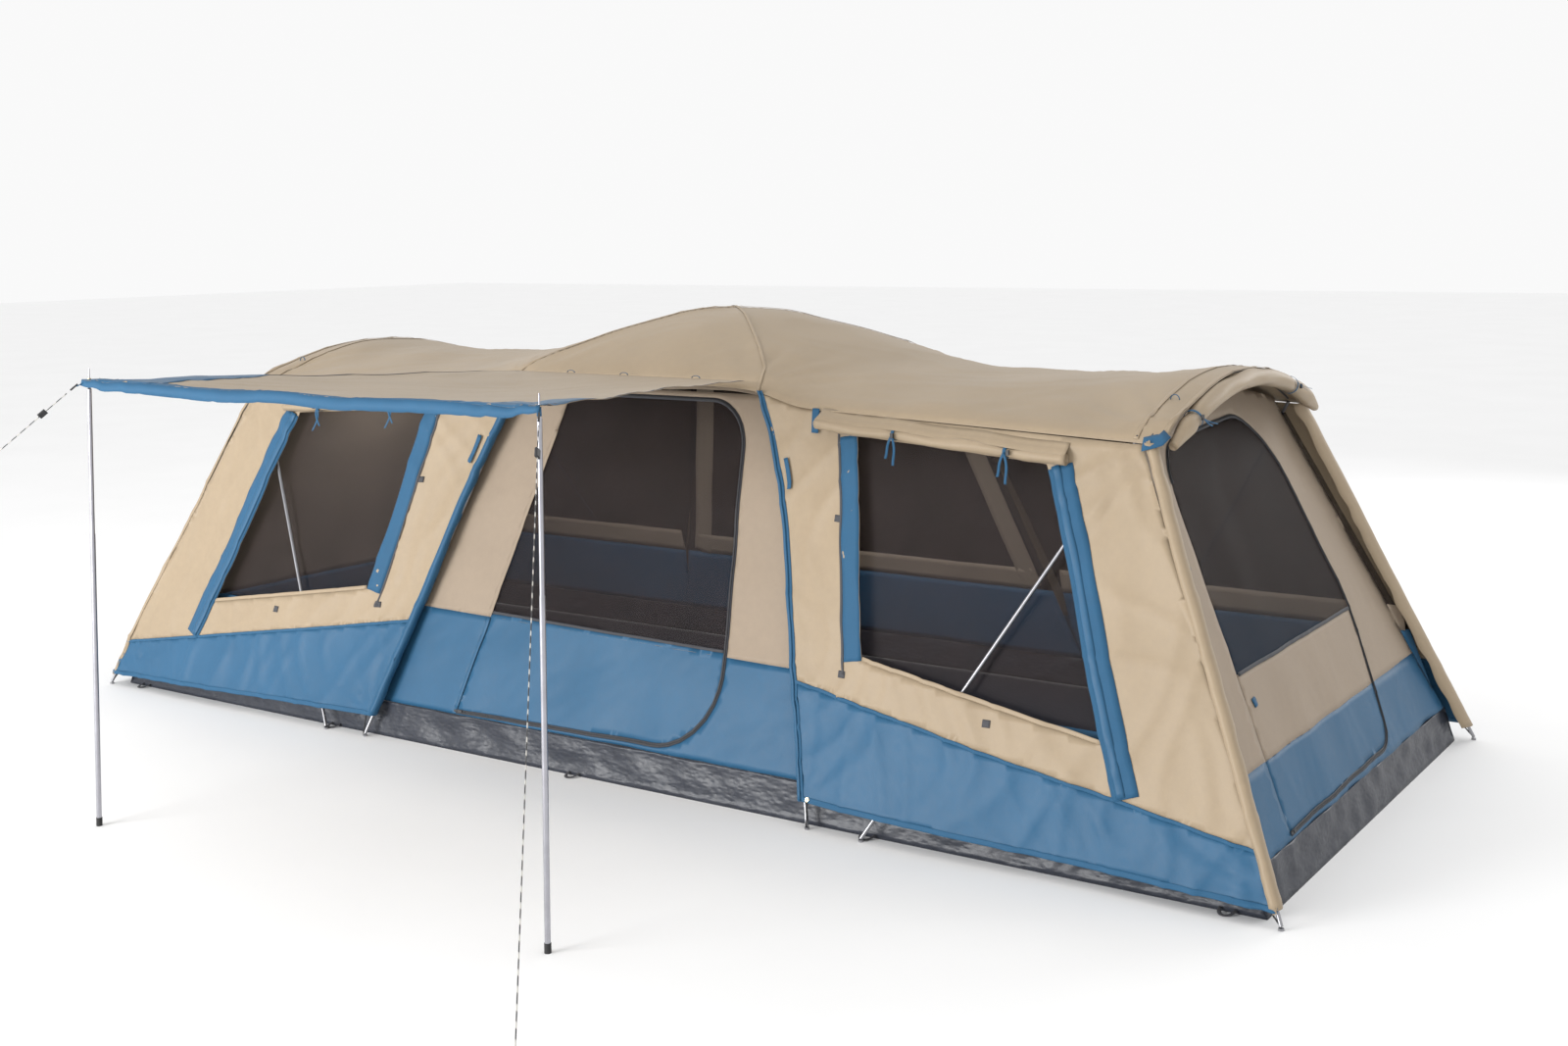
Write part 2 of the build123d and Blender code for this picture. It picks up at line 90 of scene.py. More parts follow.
def window_inner_x(z):
    return 1.661 - 0.193 * z


def window_outer_x(z):
    return 2.853 - 0.356 * z


def eave_z(x):
    x = np.abs(x)
    centre = 0.070 * np.exp(-((x / 0.900) ** 8))
    return 1.790 + centre - 0.075 * np.maximum(0.0, x - 0.760) / (HUB_X - 0.760)


def ridge_z(x):
    x = np.abs(x)
    dome = 0.265 * np.exp(-((x / 0.850) ** 2.6))
    return 1.885 + dome + 0.045 * np.exp(-(((x - HUB_X) / 0.260) ** 2))


def outer_seam_z():
    z = 0.25
    for _ in range(8):
        z = seam_z(fly_end_x(z))
    return z


# ---------------------------------------------------------------- camera
CAMERA_PLACE = (5.58, -7.82, 2.57)
CAMERA_YAW, CAMERA_DIP, CAMERA_ROLL = -34.02, 1.73, -0.66
CAMERA_LENS, CAMERA_SHIFT = 41.44, -0.1525


def make_camera():
    yaw, dip, roll = (math.radians(a) for a in (CAMERA_YAW, CAMERA_DIP, CAMERA_ROLL))
    forward = Vector((math.sin(yaw) * math.cos(dip), math.cos(yaw) * math.cos(dip), -math.sin(dip)))
    level = Vector((math.cos(yaw), -math.sin(yaw), 0))
    rise = level.cross(forward)
    right = math.cos(roll) * level + math.sin(roll) * rise
    up = math.cos(roll) * rise - math.sin(roll) * level
    data = bpy.data.cameras.new("camera")
    data.sensor_fit = "HORIZONTAL"
    data.sensor_width = 36.0
    data.lens = CAMERA_LENS
    data.shift_y = CAMERA_SHIFT
    data.clip_end = 200
    camera = bpy.data.objects.new("camera", data)
    turn = Matrix((right, up, -forward)).transposed().to_4x4()
    camera.matrix_world = Matrix.Translation(CAMERA_PLACE) @ turn
    bpy.context.scene.collection.objects.link(camera)
    bpy.context.scene.camera = camera


make_camera()


# ---------------------------------------------------------------- smooth random fields
def ripples(a, b, seed, size, waves=9):
    """A smooth field of about unit height, made of waves that run in mixed directions."""
    rng = np.random.default_rng(seed)
    total = np.zeros_like(a)
    for _ in range(waves):
        turn = rng.uniform(0, 2 * math.pi)
        length = size * rng.uniform(0.6, 1.8)
        phase = rng.uniform(0, 2 * math.pi)
        total += np.sin(2 * math.pi * (a * math.cos(turn) + b * math.sin(turn)) / length + phase)
    return total / math.sqrt(waves / 2)


def creases(a, b, seed, size, slant, stretch=4.0):
    """Sharp-crested folds, 0 to 1, that run along the direction slant."""
    along = a * math.cos(slant) + b * math.sin(slant)
    across = b * math.cos(slant) - a * math.sin(slant)
    bend = ripples(a, b, seed + 1, size * 5, 4) * size * 0.45
    return np.exp(-2.2 * np.abs(ripples(along / stretch, across + bend, seed, size)))


def fan(a, b, corner, folds, reach, seed):
    """Pull folds that spread from a loaded corner and die away with distance."""
    da, db = a - corner[0], b - corner[1]
    distance = np.hypot(da, db)
    angle = np.arctan2(db, da) + 0.06 * ripples(a, b, seed, 0.9, 3)
    near = 1 - np.exp(-((distance / 0.06) ** 2))
    fold = np.cos(folds * angle) + 0.6 * np.cos(1.7 * folds * angle + 1.0)
    return fold / 1.4 * np.exp(-distance / reach) * near


def pulls(a, b, *corners):
    """The pull folds of several corners: each is its height, then what fan takes."""
    return sum(height * fan(a, b, *rest) for height, *rest in corners)


# ---------------------------------------------------------------- skins: surfaces in their own metres
class Skin:
    """A curved cloth surface. place(u, v) gives its points and outward says which side is out."""

    def __init__(self, place, outward):
        self.place = place
        self.outward = np.array(outward, float)

    def normals(self, u, v):
        step = 0.002
        base = self.place(u, v)
        n = np.cross(self.place(u + step, v) - base, self.place(u, v + step) - base)
        n /= np.maximum(np.linalg.norm(n, axis=1, keepdims=True), 1e-12)
        side = np.sign((n @ self.outward))[:, None]
        return n * np.where(side == 0, 1, side)

    def points(self, uv, lift=0.0):
        uv = np.asarray(uv, float)
        u, v = uv[:, 0], uv[:, 1]
        base = self.place(u, v)
        return base + self.normals(u, v) * np.reshape(lift, (-1, 1)) if np.any(lift) else base


# A middle pole's distance from the ridge line at its foot, knee, shoulder and top
POLE_Z = [0.014, 1.400, 1.635, 1.796, 1.860]
POLE_Y = [1.431, 0.964, 0.900, 0.886, 0.911]
POLE_CLEARANCE = 0.018
# The end rooms' legs: x at the foot and at the hub, for the outer and the inner pair
END_LEGS = ((3.425, 2.722), (1.632, 2.662))
LEG_FOOT_Z, LEG_TOP_Z = 0.014, HUB_Z - 0.025
LEG_INSET, LEG_RADIUS, LEG_CLEARANCE = 0.017, 0.008, 0.005


def centre_pole_x(z):
    return 1.340 - 0.285 * z


def pole_inset(x, z):
    """How far the middle poles pull the front wall in, along the edge of the middle room."""
    depth = np.maximum(0.0, fly_y(z) - (np.interp(z, POLE_Z, POLE_Y) + POLE_CLEARANCE))
    beside = np.maximum(0.0, np.abs(x) - centre_pole_x(z))
    return depth * np.exp(-((beside / 0.38) ** 2))


def over_legs(ax, z, y):
    """The cloth rides over the steel legs of the end rooms instead of through them."""
    for foot_x, top_x in END_LEGS:
        leg_x = foot_x + (top_x - foot_x) * (z - LEG_FOOT_Z) / (LEG_TOP_Z - LEG_FOOT_Z)
        short = fly_y(z) - LEG_INSET + LEG_RADIUS + LEG_CLEARANCE - y
        y = y + np.maximum(0.0, short) * np.exp(-(((ax - leg_x) / 0.06) ** 2))
    return y


def front_fly(x, z):
    """The front fly: long slanting creases, with pull folds at the corners of each end room."""
    ax = np.abs(x)
    shifted = ax + 3 * np.sign(x)
    out = 0.0100 * creases(shifted, z, 11, 0.26, 1.15, 8.0)
    out += 0.0075 * creases(shifted, z, 18, 0.17, -0.9, 7.0)
    out += 0.0040 * ripples(shifted, z, 14, 0.80)
    out += pulls(ax, z, (0.0080, (3.40, 0.08), 13, 0.45, 5), (0.0090, (2.70, 1.70), 15, 0.45, 6),
                 (0.0060, (1.31, 0.11), 11, 0.35, 7), (0.0060, (0.80, 1.82), 13, 0.35, 8))
    out += 0.004 * np.clip((1.66 - z) / 0.12, 0, 1)
    y = over_legs(ax, z, fly_y(z) - pole_inset(x, z) + np.maximum(out, -0.003))
    return np.stack([x, -y, z], axis=1)


def back_fly(x, z):
    out = 0.0040 * creases(x, z, 31, 0.17, -0.4, 5.0) + 0.0030 * ripples(x, z, 33, 0.5)
    ax = np.abs(x)
    out += pulls(ax, z, (0.0050, (3.40, 0.08), 16, 0.5, 15), (0.0050, (2.70, 1.70), 18, 0.45, 16))
    return np.stack([x, fly_y(z) + out, z], axis=1)


def left_end(y, z):
    base = np.where(z < 1.700, fly_end_x(z), GABLE_X - 0.012 + 0.014 * np.minimum(1, (z - 1.70) / 0.06))
    out = 0.0045 * creases(y, z, 41, 0.18, 1.2, 5.0) + 0.003 * ripples(y, z, 43, 0.5)
    out += 0.005 * fan(np.abs(y), z, (1.42, 0.08), 14, 0.5, 17)
    return np.stack([-(base + 0.003 + out), y, z], axis=1)


def slack_wall(face, foot, lean, seed, across_x=True, amount=0.004):
    """An inner cloth wall, across the tent's length or its width, that hangs a little slack."""
    slant = 0.5 if across_x else 1.2

    def place(u, z):
        sag = amount * (ripples(u, z, seed, 0.5) + 1.2 * creases(u, z, seed + 3, 0.13, slant))
        away = face * (foot - lean * z - 0.004 + sag * 0.6)
        return np.stack([u, away, z] if across_x else [away, u, z], axis=1)
    return Skin(place, (0, face, 0) if across_x else (face, 0, 0))


POLE_PLAN = [(0.0, 0.0), (0.18, 0.19), (0.56, 0.60), (0.70, 0.76), (0.772, 0.915)]


def beside_poles(x, y):
    """Distance in plan from the crossing poles of the middle dome."""
    ax, ay = np.abs(x), np.abs(y)
    best = np.full_like(ax, FAR)
    for (x1, y1), (x2, y2) in zip(POLE_PLAN, POLE_PLAN[1:]):
        dx, dy = x2 - x1, y2 - y1
        t = np.clip(((ax - x1) * dx + (ay - y1) * dy) / (dx * dx + dy * dy), 0, 1)
        best = np.minimum(best, np.hypot(ax - x1 - t * dx, ay - y1 - t * dy))
    return best


def roof(x, t):
    side = t / ROOF_WIDTH
    eave = eave_z(x)
    z = eave + (ridge_z(x) - eave) * (1.0 - side * side)
    turn = (np.maximum(0.0, np.abs(side) - 0.88) / 0.12) ** 2
    z = z - SHOULDER * turn
    y = side * fly_y(eave - SHOULDER * turn)
    inner = np.clip((1.0 - np.abs(side)) / 0.12, 0, 1)
    z = z + 0.007 * np.exp(-((beside_poles(x, y) / 0.035) ** 2)) * inner
    z = z + (0.0040 * creases(x, y, 51, 0.20, 0.15, 5.0) + 0.0045 * ripples(x, y, 53, 0.7)) * inner
    ax, ay = np.abs(x), np.abs(y)
    z = z + pulls(ax, ay, (0.006, (2.74, 0.93), 14, 0.5, 55), (0.006, (0.78, 0.92), 14, 0.4, 56)) * inner
    slack = np.exp(-(((ax - 1.75) / 0.75) ** 2)) * (1 - side * side)
    z = z - 0.012 * slack
    return np.stack([x, y, z], axis=1)


def awning_half(v):
    return HINGE_HALF + (AWNING_OUT_X - HINGE_HALF) * v - 0.035 * np.sin(math.pi * v)


def awning(u, w):
    """u runs across in metres at the outer edge, w is metres out from the hinge line."""
    depth = HINGE_Y - AWNING_OUT_Y
    v = w / depth
    across = u / AWNING_OUT_X
    x = across * awning_half(v)
    pull_in = 0.055 * (1 - across ** 2) * v ** 4
    y = HINGE_Y - depth * v + pull_in
    z = HINGE_Z + (AWNING_EDGE_Z + 0.001 - HINGE_Z) * v
    z = z - (0.040 * np.sin(math.pi * np.clip(v, 0, 1)) + 0.020 * v) * (1 - across ** 2)
    folds = pulls(np.abs(x), y, (0.008, (AWNING_OUT_X - 0.02, AWNING_OUT_Y + 0.02), 15, 0.50, 61),
                  (0.0048, (HINGE_HALF, HINGE_Y), 12, 0.35, 62))
    folds = folds + 0.0035 * creases(x, y, 63, 0.22, 0.9, 4.0) + 0.003 * ripples(x, y, 64, 0.6)
    z = z + np.clip(v / 0.10, 0, 1) * folds
    return np.stack([x, y, z], axis=1)


FRONT = Skin(front_fly, (0, -1, 0.2))
BACK = Skin(back_fly, (0, 1, 0.2))
LEFT_END = Skin(left_end, (-1, 0, 0.2))
ROOF = Skin(roof, (0, 0, 1))
AWNING = Skin(awning, (0, 0, 1))
ROOM_FRONT = slack_wall(-1, INNER_FOOT, FLY_LEAN, 71, amount=0.006)
ROOM_BACK = slack_wall(1, INNER_FOOT, FLY_LEAN, 72)
CENTRE_FRONT = slack_wall(-1, CENTRE_FOOT, CENTRE_LEAN, 73)
CENTRE_BACK = slack_wall(1, CENTRE_FOOT, CENTRE_LEAN, 74)
END_RIGHT = slack_wall(1, END_FOOT, END_LEAN, 75, across_x=False)
END_LEFT = slack_wall(-1, END_FOOT, END_LEAN, 76, across_x=False)


# ---------------------------------------------------------------- materials
class Look:
    """A node material under construction."""

    def __init__(self, name, coords="UV"):
        self.material = bpy.data.materials.new(name)
        self.material.use_nodes = True
        self.tree = self.material.node_tree
        self.shader = self.tree.nodes["Principled BSDF"]
        source = self.tree.nodes.new("ShaderNodeTexCoord")
        self.coords = source.outputs[coords]

    def link(self, node, inputs):
        for key, value in inputs.items():
            if isinstance(value, bpy.types.NodeSocket):
                self.tree.links.new(value, node.inputs[key])
            else:
                node.inputs[key].default_value = value

    def add(self, kind, inputs, **settings):
        made = self.tree.nodes.new(kind)
        for key, value in settings.items():
            setattr(made, key, value)
        self.link(made, inputs)
        return made

    def scaled(self, scale):
        return self.add("ShaderNodeMapping", {"Vector": self.coords, "Scale": scale}).outputs["Vector"]

    def noise(self, scale, detail=3.0, roughness=0.55, vector=None):
        inputs = {"Vector": vector or self.coords, "Scale": scale,
                  "Detail": detail, "Roughness": roughness}
        return self.add("ShaderNodeTexNoise", inputs).outputs["Fac"]

    def bands(self, width, direction):
        inputs = {"Vector": self.coords, "Scale": WAVE_PERIOD / width}
        return self.add("ShaderNodeTexWave", inputs, bands_direction=direction).outputs["Fac"]

    def maths(self, operation, a, b):
        return self.add("ShaderNodeMath", {0: a, 1: b}, operation=operation).outputs[0]

    def weave(self, width, operation="MULTIPLY"):
        return self.maths(operation, self.bands(width, "X"), self.bands(width, "Y"))

    def ramp(self, factor, stops):
        made = self.add("ShaderNodeValToRGB", {"Fac": factor})
        for element, (position, colour) in zip(made.color_ramp.elements, stops):
            element.position = position
            element.color = (*colour, 1)
        return made.outputs["Color"]

    def tones(self, factor, colour, *stops):
        """Shades of one colour: each stop is its position and how bright it is."""
        return self.ramp(factor, [(position, shade(colour, bright)) for position, bright in stops])

    def spread(self, factor, low, high):
        inputs = {"Value": factor, "To Min": low, "To Max": high}
        return self.add("ShaderNodeMapRange", inputs).outputs["Result"]

    def multiply(self, a, b):
        return self.add("ShaderNodeMix", {0: 1.0, 6: a, 7: b}, data_type="RGBA",
                        blend_type="MULTIPLY").outputs[2]

    def bump(self, height, distance, strength, after=None):
        inputs = {"Height": height, "Distance": distance, "Strength": strength}
        if after is not None:
            inputs["Normal"] = after
        return self.add("ShaderNodeBump", inputs).outputs["Normal"]

    def finish(self, colour, roughness, normal, **constants):
        inputs = {key.replace("_", " "): value for key, value in constants.items()}
        self.link(self.shader, {"Base Color": colour, "Roughness": roughness, "Normal": normal, **inputs})
        return self.material


def shade(colour, factor):
    return tuple(c * factor for c in colour)


# A wave texture of scale 1 repeats about every 0.314
WAVE_PERIOD = 0.314
FABRIC_THREAD, MESH_THREAD, SHEETING_THREAD, CORD_STRAND = 0.0015, 0.0022, 0.004, 0.003
WHITE = (1.0, 1.0, 1.0)


def fabric(name, colour, roughness=(0.40, 0.54), sheen=0.04, pucker=0.22, variation=0.035, spots=1.0):
    """Coated polyester: a fine weave, soft puckers, faint mottling and rubbed creases."""
    look = Look(name)
    broad = look.noise(2.2 * spots, 4.0)
    fine = look.noise(26.0, 4.0, 0.6)
    tone = look.tones(broad, colour, (0.30, 1 - variation), (0.72, 1 + variation))
    weave = look.weave(FABRIC_THREAD)
    threads = look.tones(weave, WHITE, (0.0, 0.90), (0.8, 1.0))
    worn = look.ramp(fine, [(0.35, (0.955, 0.955, 0.96)), (0.65, WHITE)])
    coloured = look.multiply(look.multiply(tone, threads), worn)
    normal = look.bump(weave, 0.0003, 0.30)
    normal = look.bump(look.noise(30.0, 3.0, 0.5), 0.0012, pucker, normal)
    normal = look.bump(look.noise(7.0, 1.0, 0.4), 0.006, pucker * 0.5, normal)
    return look.finish(coloured, look.spread(fine, *roughness), normal,
                       Sheen_Weight=sheen, Specular_IOR_Level=0.35, IOR=1.45)


def netting(name, colour, alpha):
    """Fine insect mesh: dark threads, see-through, with a faint sheen on its slack folds."""
    look = Look(name)
    weave = look.weave(MESH_THREAD, "MAXIMUM")
    soft = look.noise(5.0, 4.0)
    tone = look.tones(soft, colour, (0.3, 0.8), (0.7, 1.25))
    threads = look.tones(weave, WHITE, (0.3, 0.8), (1.0, 1.15))
    normal = look.bump(weave, 0.0003, 0.3)
    normal = look.bump(look.noise(14.0, 3.0), 0.006, 0.5, normal)
    return look.finish(look.multiply(tone, threads), look.spread(soft, 0.50, 0.68), normal,
                       Alpha=alpha, Specular_IOR_Level=0.15)


def sheeting(name, colour):
    """Woven polyethylene: stiff, crinkled and glossy."""
    look = Look(name)
    crinkle = look.add("ShaderNodeTexVoronoi", {"Vector": look.scaled((1.0, 2.2, 1.0)), "Scale": 30.0},
                       feature="SMOOTH_F1").outputs["Distance"]
    rough = look.noise(24.0, 6.0, 0.7)
    tone = look.tones(rough, colour, (0.35, 0.85), (0.65, 1.15))
    normal = look.bump(look.weave(SHEETING_THREAD), 0.0003, 0.3)
    normal = look.bump(crinkle, 0.004, 0.6, normal)
    normal = look.bump(look.noise(70.0, 4.0, 0.6), 0.0014, 0.6, normal)
    return look.finish(tone, look.spread(rough, 0.30, 0.46), normal, Specular_IOR_Level=0.40)


def brushed(name, colour, roughness, along="Z", grain=900.0):
    """Drawn metal tube: fine lines along its length, faint handling marks."""
    look = Look(name, "Object")
    scale = {"Z": (grain, grain, 3.0), "X": (3.0, grain, grain)}[along]
    lines = look.noise(1.0, 2.0, 0.5, look.scaled(scale))
    marks = look.noise(14.0, 5.0, 0.65)
    tone = look.tones(marks, colour, (0.25, 0.82), (0.7, 1.0))
    normal = look.bump(lines, 0.0002, 0.25)
    return look.finish(tone, look.spread(marks, *roughness), normal, Metallic=1.0)


def moulded(name, colour, roughness=(0.42, 0.6), grain=700.0):
    """Moulded plastic or rubber with a fine pebbled skin."""
    look = Look(name, "Object")
    pebble = look.noise(grain, 2.0)
    tone = look.tones(look.noise(25.0, 3.0), colour, (0.3, 0.8), (0.7, 1.25))
    return look.finish(tone, look.spread(pebble, *roughness), look.bump(pebble, 0.0003, 0.4))


def flecked(name, dark, light):
    """Braided cord with light flecks that wind round it. u goes round, v runs along in metres."""
    look = Look(name)
    spiral = look.add("ShaderNodeTexWave", {"Vector": look.scaled((0.012, 1.0, 1.0)), "Scale": 13.0,
                      "Distortion": 0.6, "Detail": 1.0}, wave_type="BANDS", bands_direction="DIAGONAL")
    strands = look.bands(CORD_STRAND, "Y")
    tone = look.ramp(spiral.outputs["Fac"], [(0.62, dark), (0.74, light)])
    normal = look.bump(strands, 0.0005, 0.7)
    return look.finish(tone, look.spread(strands, 0.6, 0.8), normal, Sheen_Weight=0.3)


TAN = (0.385, 0.298, 0.200)
BLUE = (0.024, 0.108, 0.212)
MAT = {
    "tan": fabric("tan_polyester", TAN),
    "blue": fabric("blue_polyester", BLUE, variation=0.06),
    "blue_tape": fabric("blue_tape", shade(BLUE, 0.98), roughness=(0.6, 0.75), pucker=0.15),
    "inner": fabric("inner_cloth", (0.350, 0.278, 0.208), roughness=(0.55, 0.7), pucker=0.4),
    "mesh": netting("insect_mesh", (0.022, 0.016, 0.016), 0.46),
    "tub": sheeting("floor_sheeting", (0.030, 0.034, 0.046)),
    "zip": fabric("zip_tape", (0.050, 0.052, 0.060), roughness=(0.5, 0.7), pucker=0.1),
    "webbing": fabric("grey_webbing", (0.075, 0.075, 0.082), roughness=(0.6, 0.8), pucker=0.1),
    "steel": brushed("zinc_steel", (0.36, 0.36, 0.38), (0.28, 0.45)),
    "alloy": brushed("pole_alloy", (0.46, 0.46, 0.50), (0.24, 0.38)),
    "fibreglass": moulded("fibreglass_rod", (0.045, 0.045, 0.050), (0.25, 0.40), 1400.0),
    "brass": brushed("brass", (0.62, 0.48, 0.26), (0.25, 0.40), "X", 1200.0),
    "rubber": moulded("black_rubber", (0.020, 0.020, 0.021), (0.6, 0.8)),
    "plastic": moulded("black_plastic", (0.022, 0.022, 0.024)),
    "cord": flecked("guy_cord", (0.018, 0.018, 0.020), (0.52, 0.50, 0.46)),
}


# ---------------------------------------------------------------- mesh making
def add_piece(name, verts, faces, uvs, material, body="tent", slot=None):
    """A mesh piece in its material. A body of None leaves it free, attached to no body."""
    mesh = bpy.data.meshes.new(name)
    mesh.from_pydata(np.asarray(verts).tolist(), [], [list(map(int, f)) for f in faces])
    layer = mesh.uv_layers.new(name="metres")
    index = np.empty(len(mesh.loops), np.int32)
    mesh.loops.foreach_get("vertex_index", index)
    layer.data.foreach_set("uv", np.asarray(uvs, float)[index].ravel())
    mesh.polygons.foreach_set("use_smooth", np.ones(len(mesh.polygons), bool))
    mesh.update()
    obj = bpy.data.objects.new(name, mesh)
    obj.data.materials.append(MAT[material])
    bpy.context.scene.collection.objects.link(obj)
    if body:
        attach(obj, body)
    return obj


def thicken(obj, thickness=CLOTH):
    made = obj.modifiers.new("cloth", "SOLIDIFY")
    made.thickness = thickness
    made.offset = -1.0
    return obj


def resample(points, spacing, closed=True):
    """Points about spacing apart along a line or round a ring, its corners kept."""
    points = [np.array(p, float) for p in points]
    ends = points[1:] + points[:1] if closed else points[1:]
    out = []
    for a, b in zip(points, ends):
        count = max(1, int(round(np.linalg.norm(b - a) / spacing)))
        out += [a + (b - a) * k / count for k in range(count)]
    if not closed:
        out.append(points[-1])
    return np.array(out)


def inside(points, ring):
    """Which points lie inside a ring."""
    x, y = points[:, 0], points[:, 1]
    odd = np.zeros(len(points), bool)
    for (x1, y1), (x2, y2) in zip(ring, np.roll(ring, -1, axis=0)):
        crosses = (y1 > y) != (y2 > y)
        odd ^= crosses & (x < (x2 - x1) * (y - y1) / ((y2 - y1) or 1e-12) + x1)
    return odd


def clearance(points, ring):
    """Each point's distance from a ring."""
    best = np.full(len(points), FAR)
    for a, b in zip(ring, np.roll(ring, -1, axis=0)):
        d = b - a
        t = np.clip((points - a) @ d / max(d @ d, 1e-12), 0, 1)
        best = np.minimum(best, np.linalg.norm(points - a - t[:, None] * d, axis=1))
    return best


def triangulate(outline, holes, spacing):
    """Near-even triangles that fill an outline round its holes."""
    rings = [resample(ring, spacing) for ring in [outline, *holes]]
    low, high = rings[0].min(0), rings[0].max(0)
    rows = np.arange(low[1], high[1], spacing * 0.866)
    lattice = [(x + (i % 2) * spacing / 2, y) for i, y in enumerate(rows)
               for x in np.arange(low[0], high[0], spacing)]
    lattice = np.array(lattice)
    keep = inside(lattice, rings[0])
    for ring in rings:
        keep &= clearance(lattice, ring) > spacing * 0.5
    for ring in rings[1:]:
        keep &= ~inside(lattice, ring)
    coords = np.vstack(rings + [lattice[keep]])
    edges = []
    start = 0
    for ring in rings:
        count = len(ring)
        edges += [(start + k, start + (k + 1) % count) for k in range(count)]
        start += count
    result = delaunay_2d_cdt([Vector(p) for p in coords], edges, [], 0, 1e-7)
    coords = np.array([tuple(v) for v in result[0]])
    faces = np.array([f for f in result[2] if len(f) == 3])
    middle = coords[faces].mean(axis=1)
    keep = inside(middle, rings[0])
    for ring in rings[1:]:
        keep &= ~inside(middle, ring)
    return coords, faces[keep]


def turn_outward(verts, faces, outward):
    """The faces, turned over if they look away from outward."""
    a, b, c = (verts[faces[:, k]] for k in range(3))
    if (np.cross(b - a, c - a) @ outward).sum() < 0:
        faces = faces[:, ::-1]
    return faces


def panel(name, outline, skin, material, spacing=0.03, holes=(), body="tent", lift=0.0):
    """A sewn cloth panel cut to an outline, with holes, and laid on a skin."""
    coords, faces = triangulate(outline, holes, spacing)
    verts = skin.points(coords, lift)
    faces = turn_outward(verts, faces, skin.outward)
    return thicken(add_piece(name, verts, faces, coords, material, body))


def grid_faces(rows, columns, wrap=False):
    """The quads of a grid of points, row by row. wrap closes each row into a ring."""
    faces = []
    for r in range(rows - 1):
        low, high = r * columns, (r + 1) * columns
        for c in range(columns if wrap else columns - 1):
            d = (c + 1) % columns
            faces.append((low + c, low + d, high + d, high + c))
    return np.array(faces)


def merge(parts):
    """Joins several (verts, faces, uvs) into one."""
    verts, faces, uvs, start = [], [], [], 0
    for v, f, t in parts:
        verts.append(v)
        faces += [[i + start for i in face] for face in f]
        uvs.append(t)
        start += len(v)
    return np.vstack(verts), faces, np.vstack(uvs)


def joined(name, parts, material, body="tent", thickness=0.001):
    """Several strips of tape as one piece."""
    return thicken(add_piece(name, *merge(parts), material, body), thickness)


def even_sheet(name, skin, us, vs, material, body="tent"):
    """A rectangle of cloth laid on a skin as an even grid."""
    uv = np.array([(u, v) for u in us for v in vs])
    verts = skin.points(uv)
    faces = turn_outward(verts, grid_faces(len(us), len(vs)), skin.outward)
    return thicken(add_piece(name, verts, faces, uv, material, body))


def run_length(points):
    """Distance along a line at each of its points."""
    return np.concatenate([[0], np.cumsum(np.linalg.norm(np.diff(points, axis=0), axis=1))])


def ribbon_part(line, width, skin, lift=0.0026, crown=0.0006, spacing=0.02, shift=0.0):
    """A flat tape along a line on a skin. shift moves it sideways by that many widths."""
    path = resample(line, spacing, closed=False)
    way = np.gradient(path, axis=0)
    way /= np.maximum(np.linalg.norm(way, axis=1, keepdims=True), 1e-9)
    across = np.stack([-way[:, 1], way[:, 0]], axis=1)
    places, uvs, lifts = [], [], []
    steps = np.linspace(-0.5, 0.5, 5)
    for p, n, s in zip(path, across, run_length(path)):
        for k in steps:
            places.append(p + n * (k + shift) * width)
            uvs.append((k * width, s))
            lifts.append(lift + crown * (1 - (2 * k) ** 2))
    places, lifts = np.array(places), np.array(lifts)
    verts = skin.points(places, lifts)
    faces = turn_outward(verts, grid_faces(len(path), len(steps)), skin.outward)
    return verts, faces, np.array(uvs)


def ribbons(name, lines, width, skin, material, body="tent", **options):
    parts = [ribbon_part(line, width, skin, **options) for line in lines]
    return joined(name, parts, material, body, TAPE)


def tube_part(points, radius, sides=8, squash=1.0):
    """A tube along points in space; radius is one number or one for each point."""
    points = np.asarray(points, float)
    radius = np.broadcast_to(radius, len(points))
    way = np.gradient(points, axis=0)
    way /= np.maximum(np.linalg.norm(way, axis=1, keepdims=True), 1e-9)
    seed = np.array([0.0, 0.0, 1.0]) if abs(way[0][2]) < 0.9 else np.array([1.0, 0.0, 0.0])
    first = np.cross(way[0], seed)
    first /= np.linalg.norm(first)
    verts, uvs, run = [], [], 0.0
    for k, (p, w, r) in enumerate(zip(points, way, radius)):
        first = first - w * (first @ w)
        first /= np.linalg.norm(first)
        second = np.cross(w, first)
        run += np.linalg.norm(p - points[k - 1]) if k else 0.0
        for s in range(sides):
            a = 2 * math.pi * s / sides
            verts.append(p + r * (math.cos(a) * first + squash * math.sin(a) * second))
            uvs.append((s / sides, run))
    faces = grid_faces(len(points), sides, wrap=True).tolist()
    faces.append(list(range(sides))[::-1])
    faces.append([(len(points) - 1) * sides + s for s in range(sides)])
    return np.array(verts), faces, np.array(uvs)


def tubes(name, lines, radius, material, body="tent", sides=8, squash=1.0, slot=None):
    parts = [tube_part(line, radius, sides, squash) for line in lines]
    return add_piece(name, *merge(parts), material, body, slot)


def arch(centre, wide, tall):
    """Half a ring that stands up across x."""
    t = np.linspace(0, math.pi, 9)
    return np.asarray(centre) + np.stack([wide * np.cos(t), np.zeros(9), tall * np.sin(t)], axis=1)


def zip_teeth(name, line, skin, body, lift=0.0035):
    """The coil of a zip: a slim bead whose radius steps along it, tooth by tooth."""
    pitch = 0.0035
    path = resample(line, pitch / 2, closed=False)
    radius = np.where(np.arange(len(path)) % 2 == 0, 0.0030, 0.0021)
    return add_piece(name, *tube_part(skin.points(path, lift), radius, 6), "plastic", body)


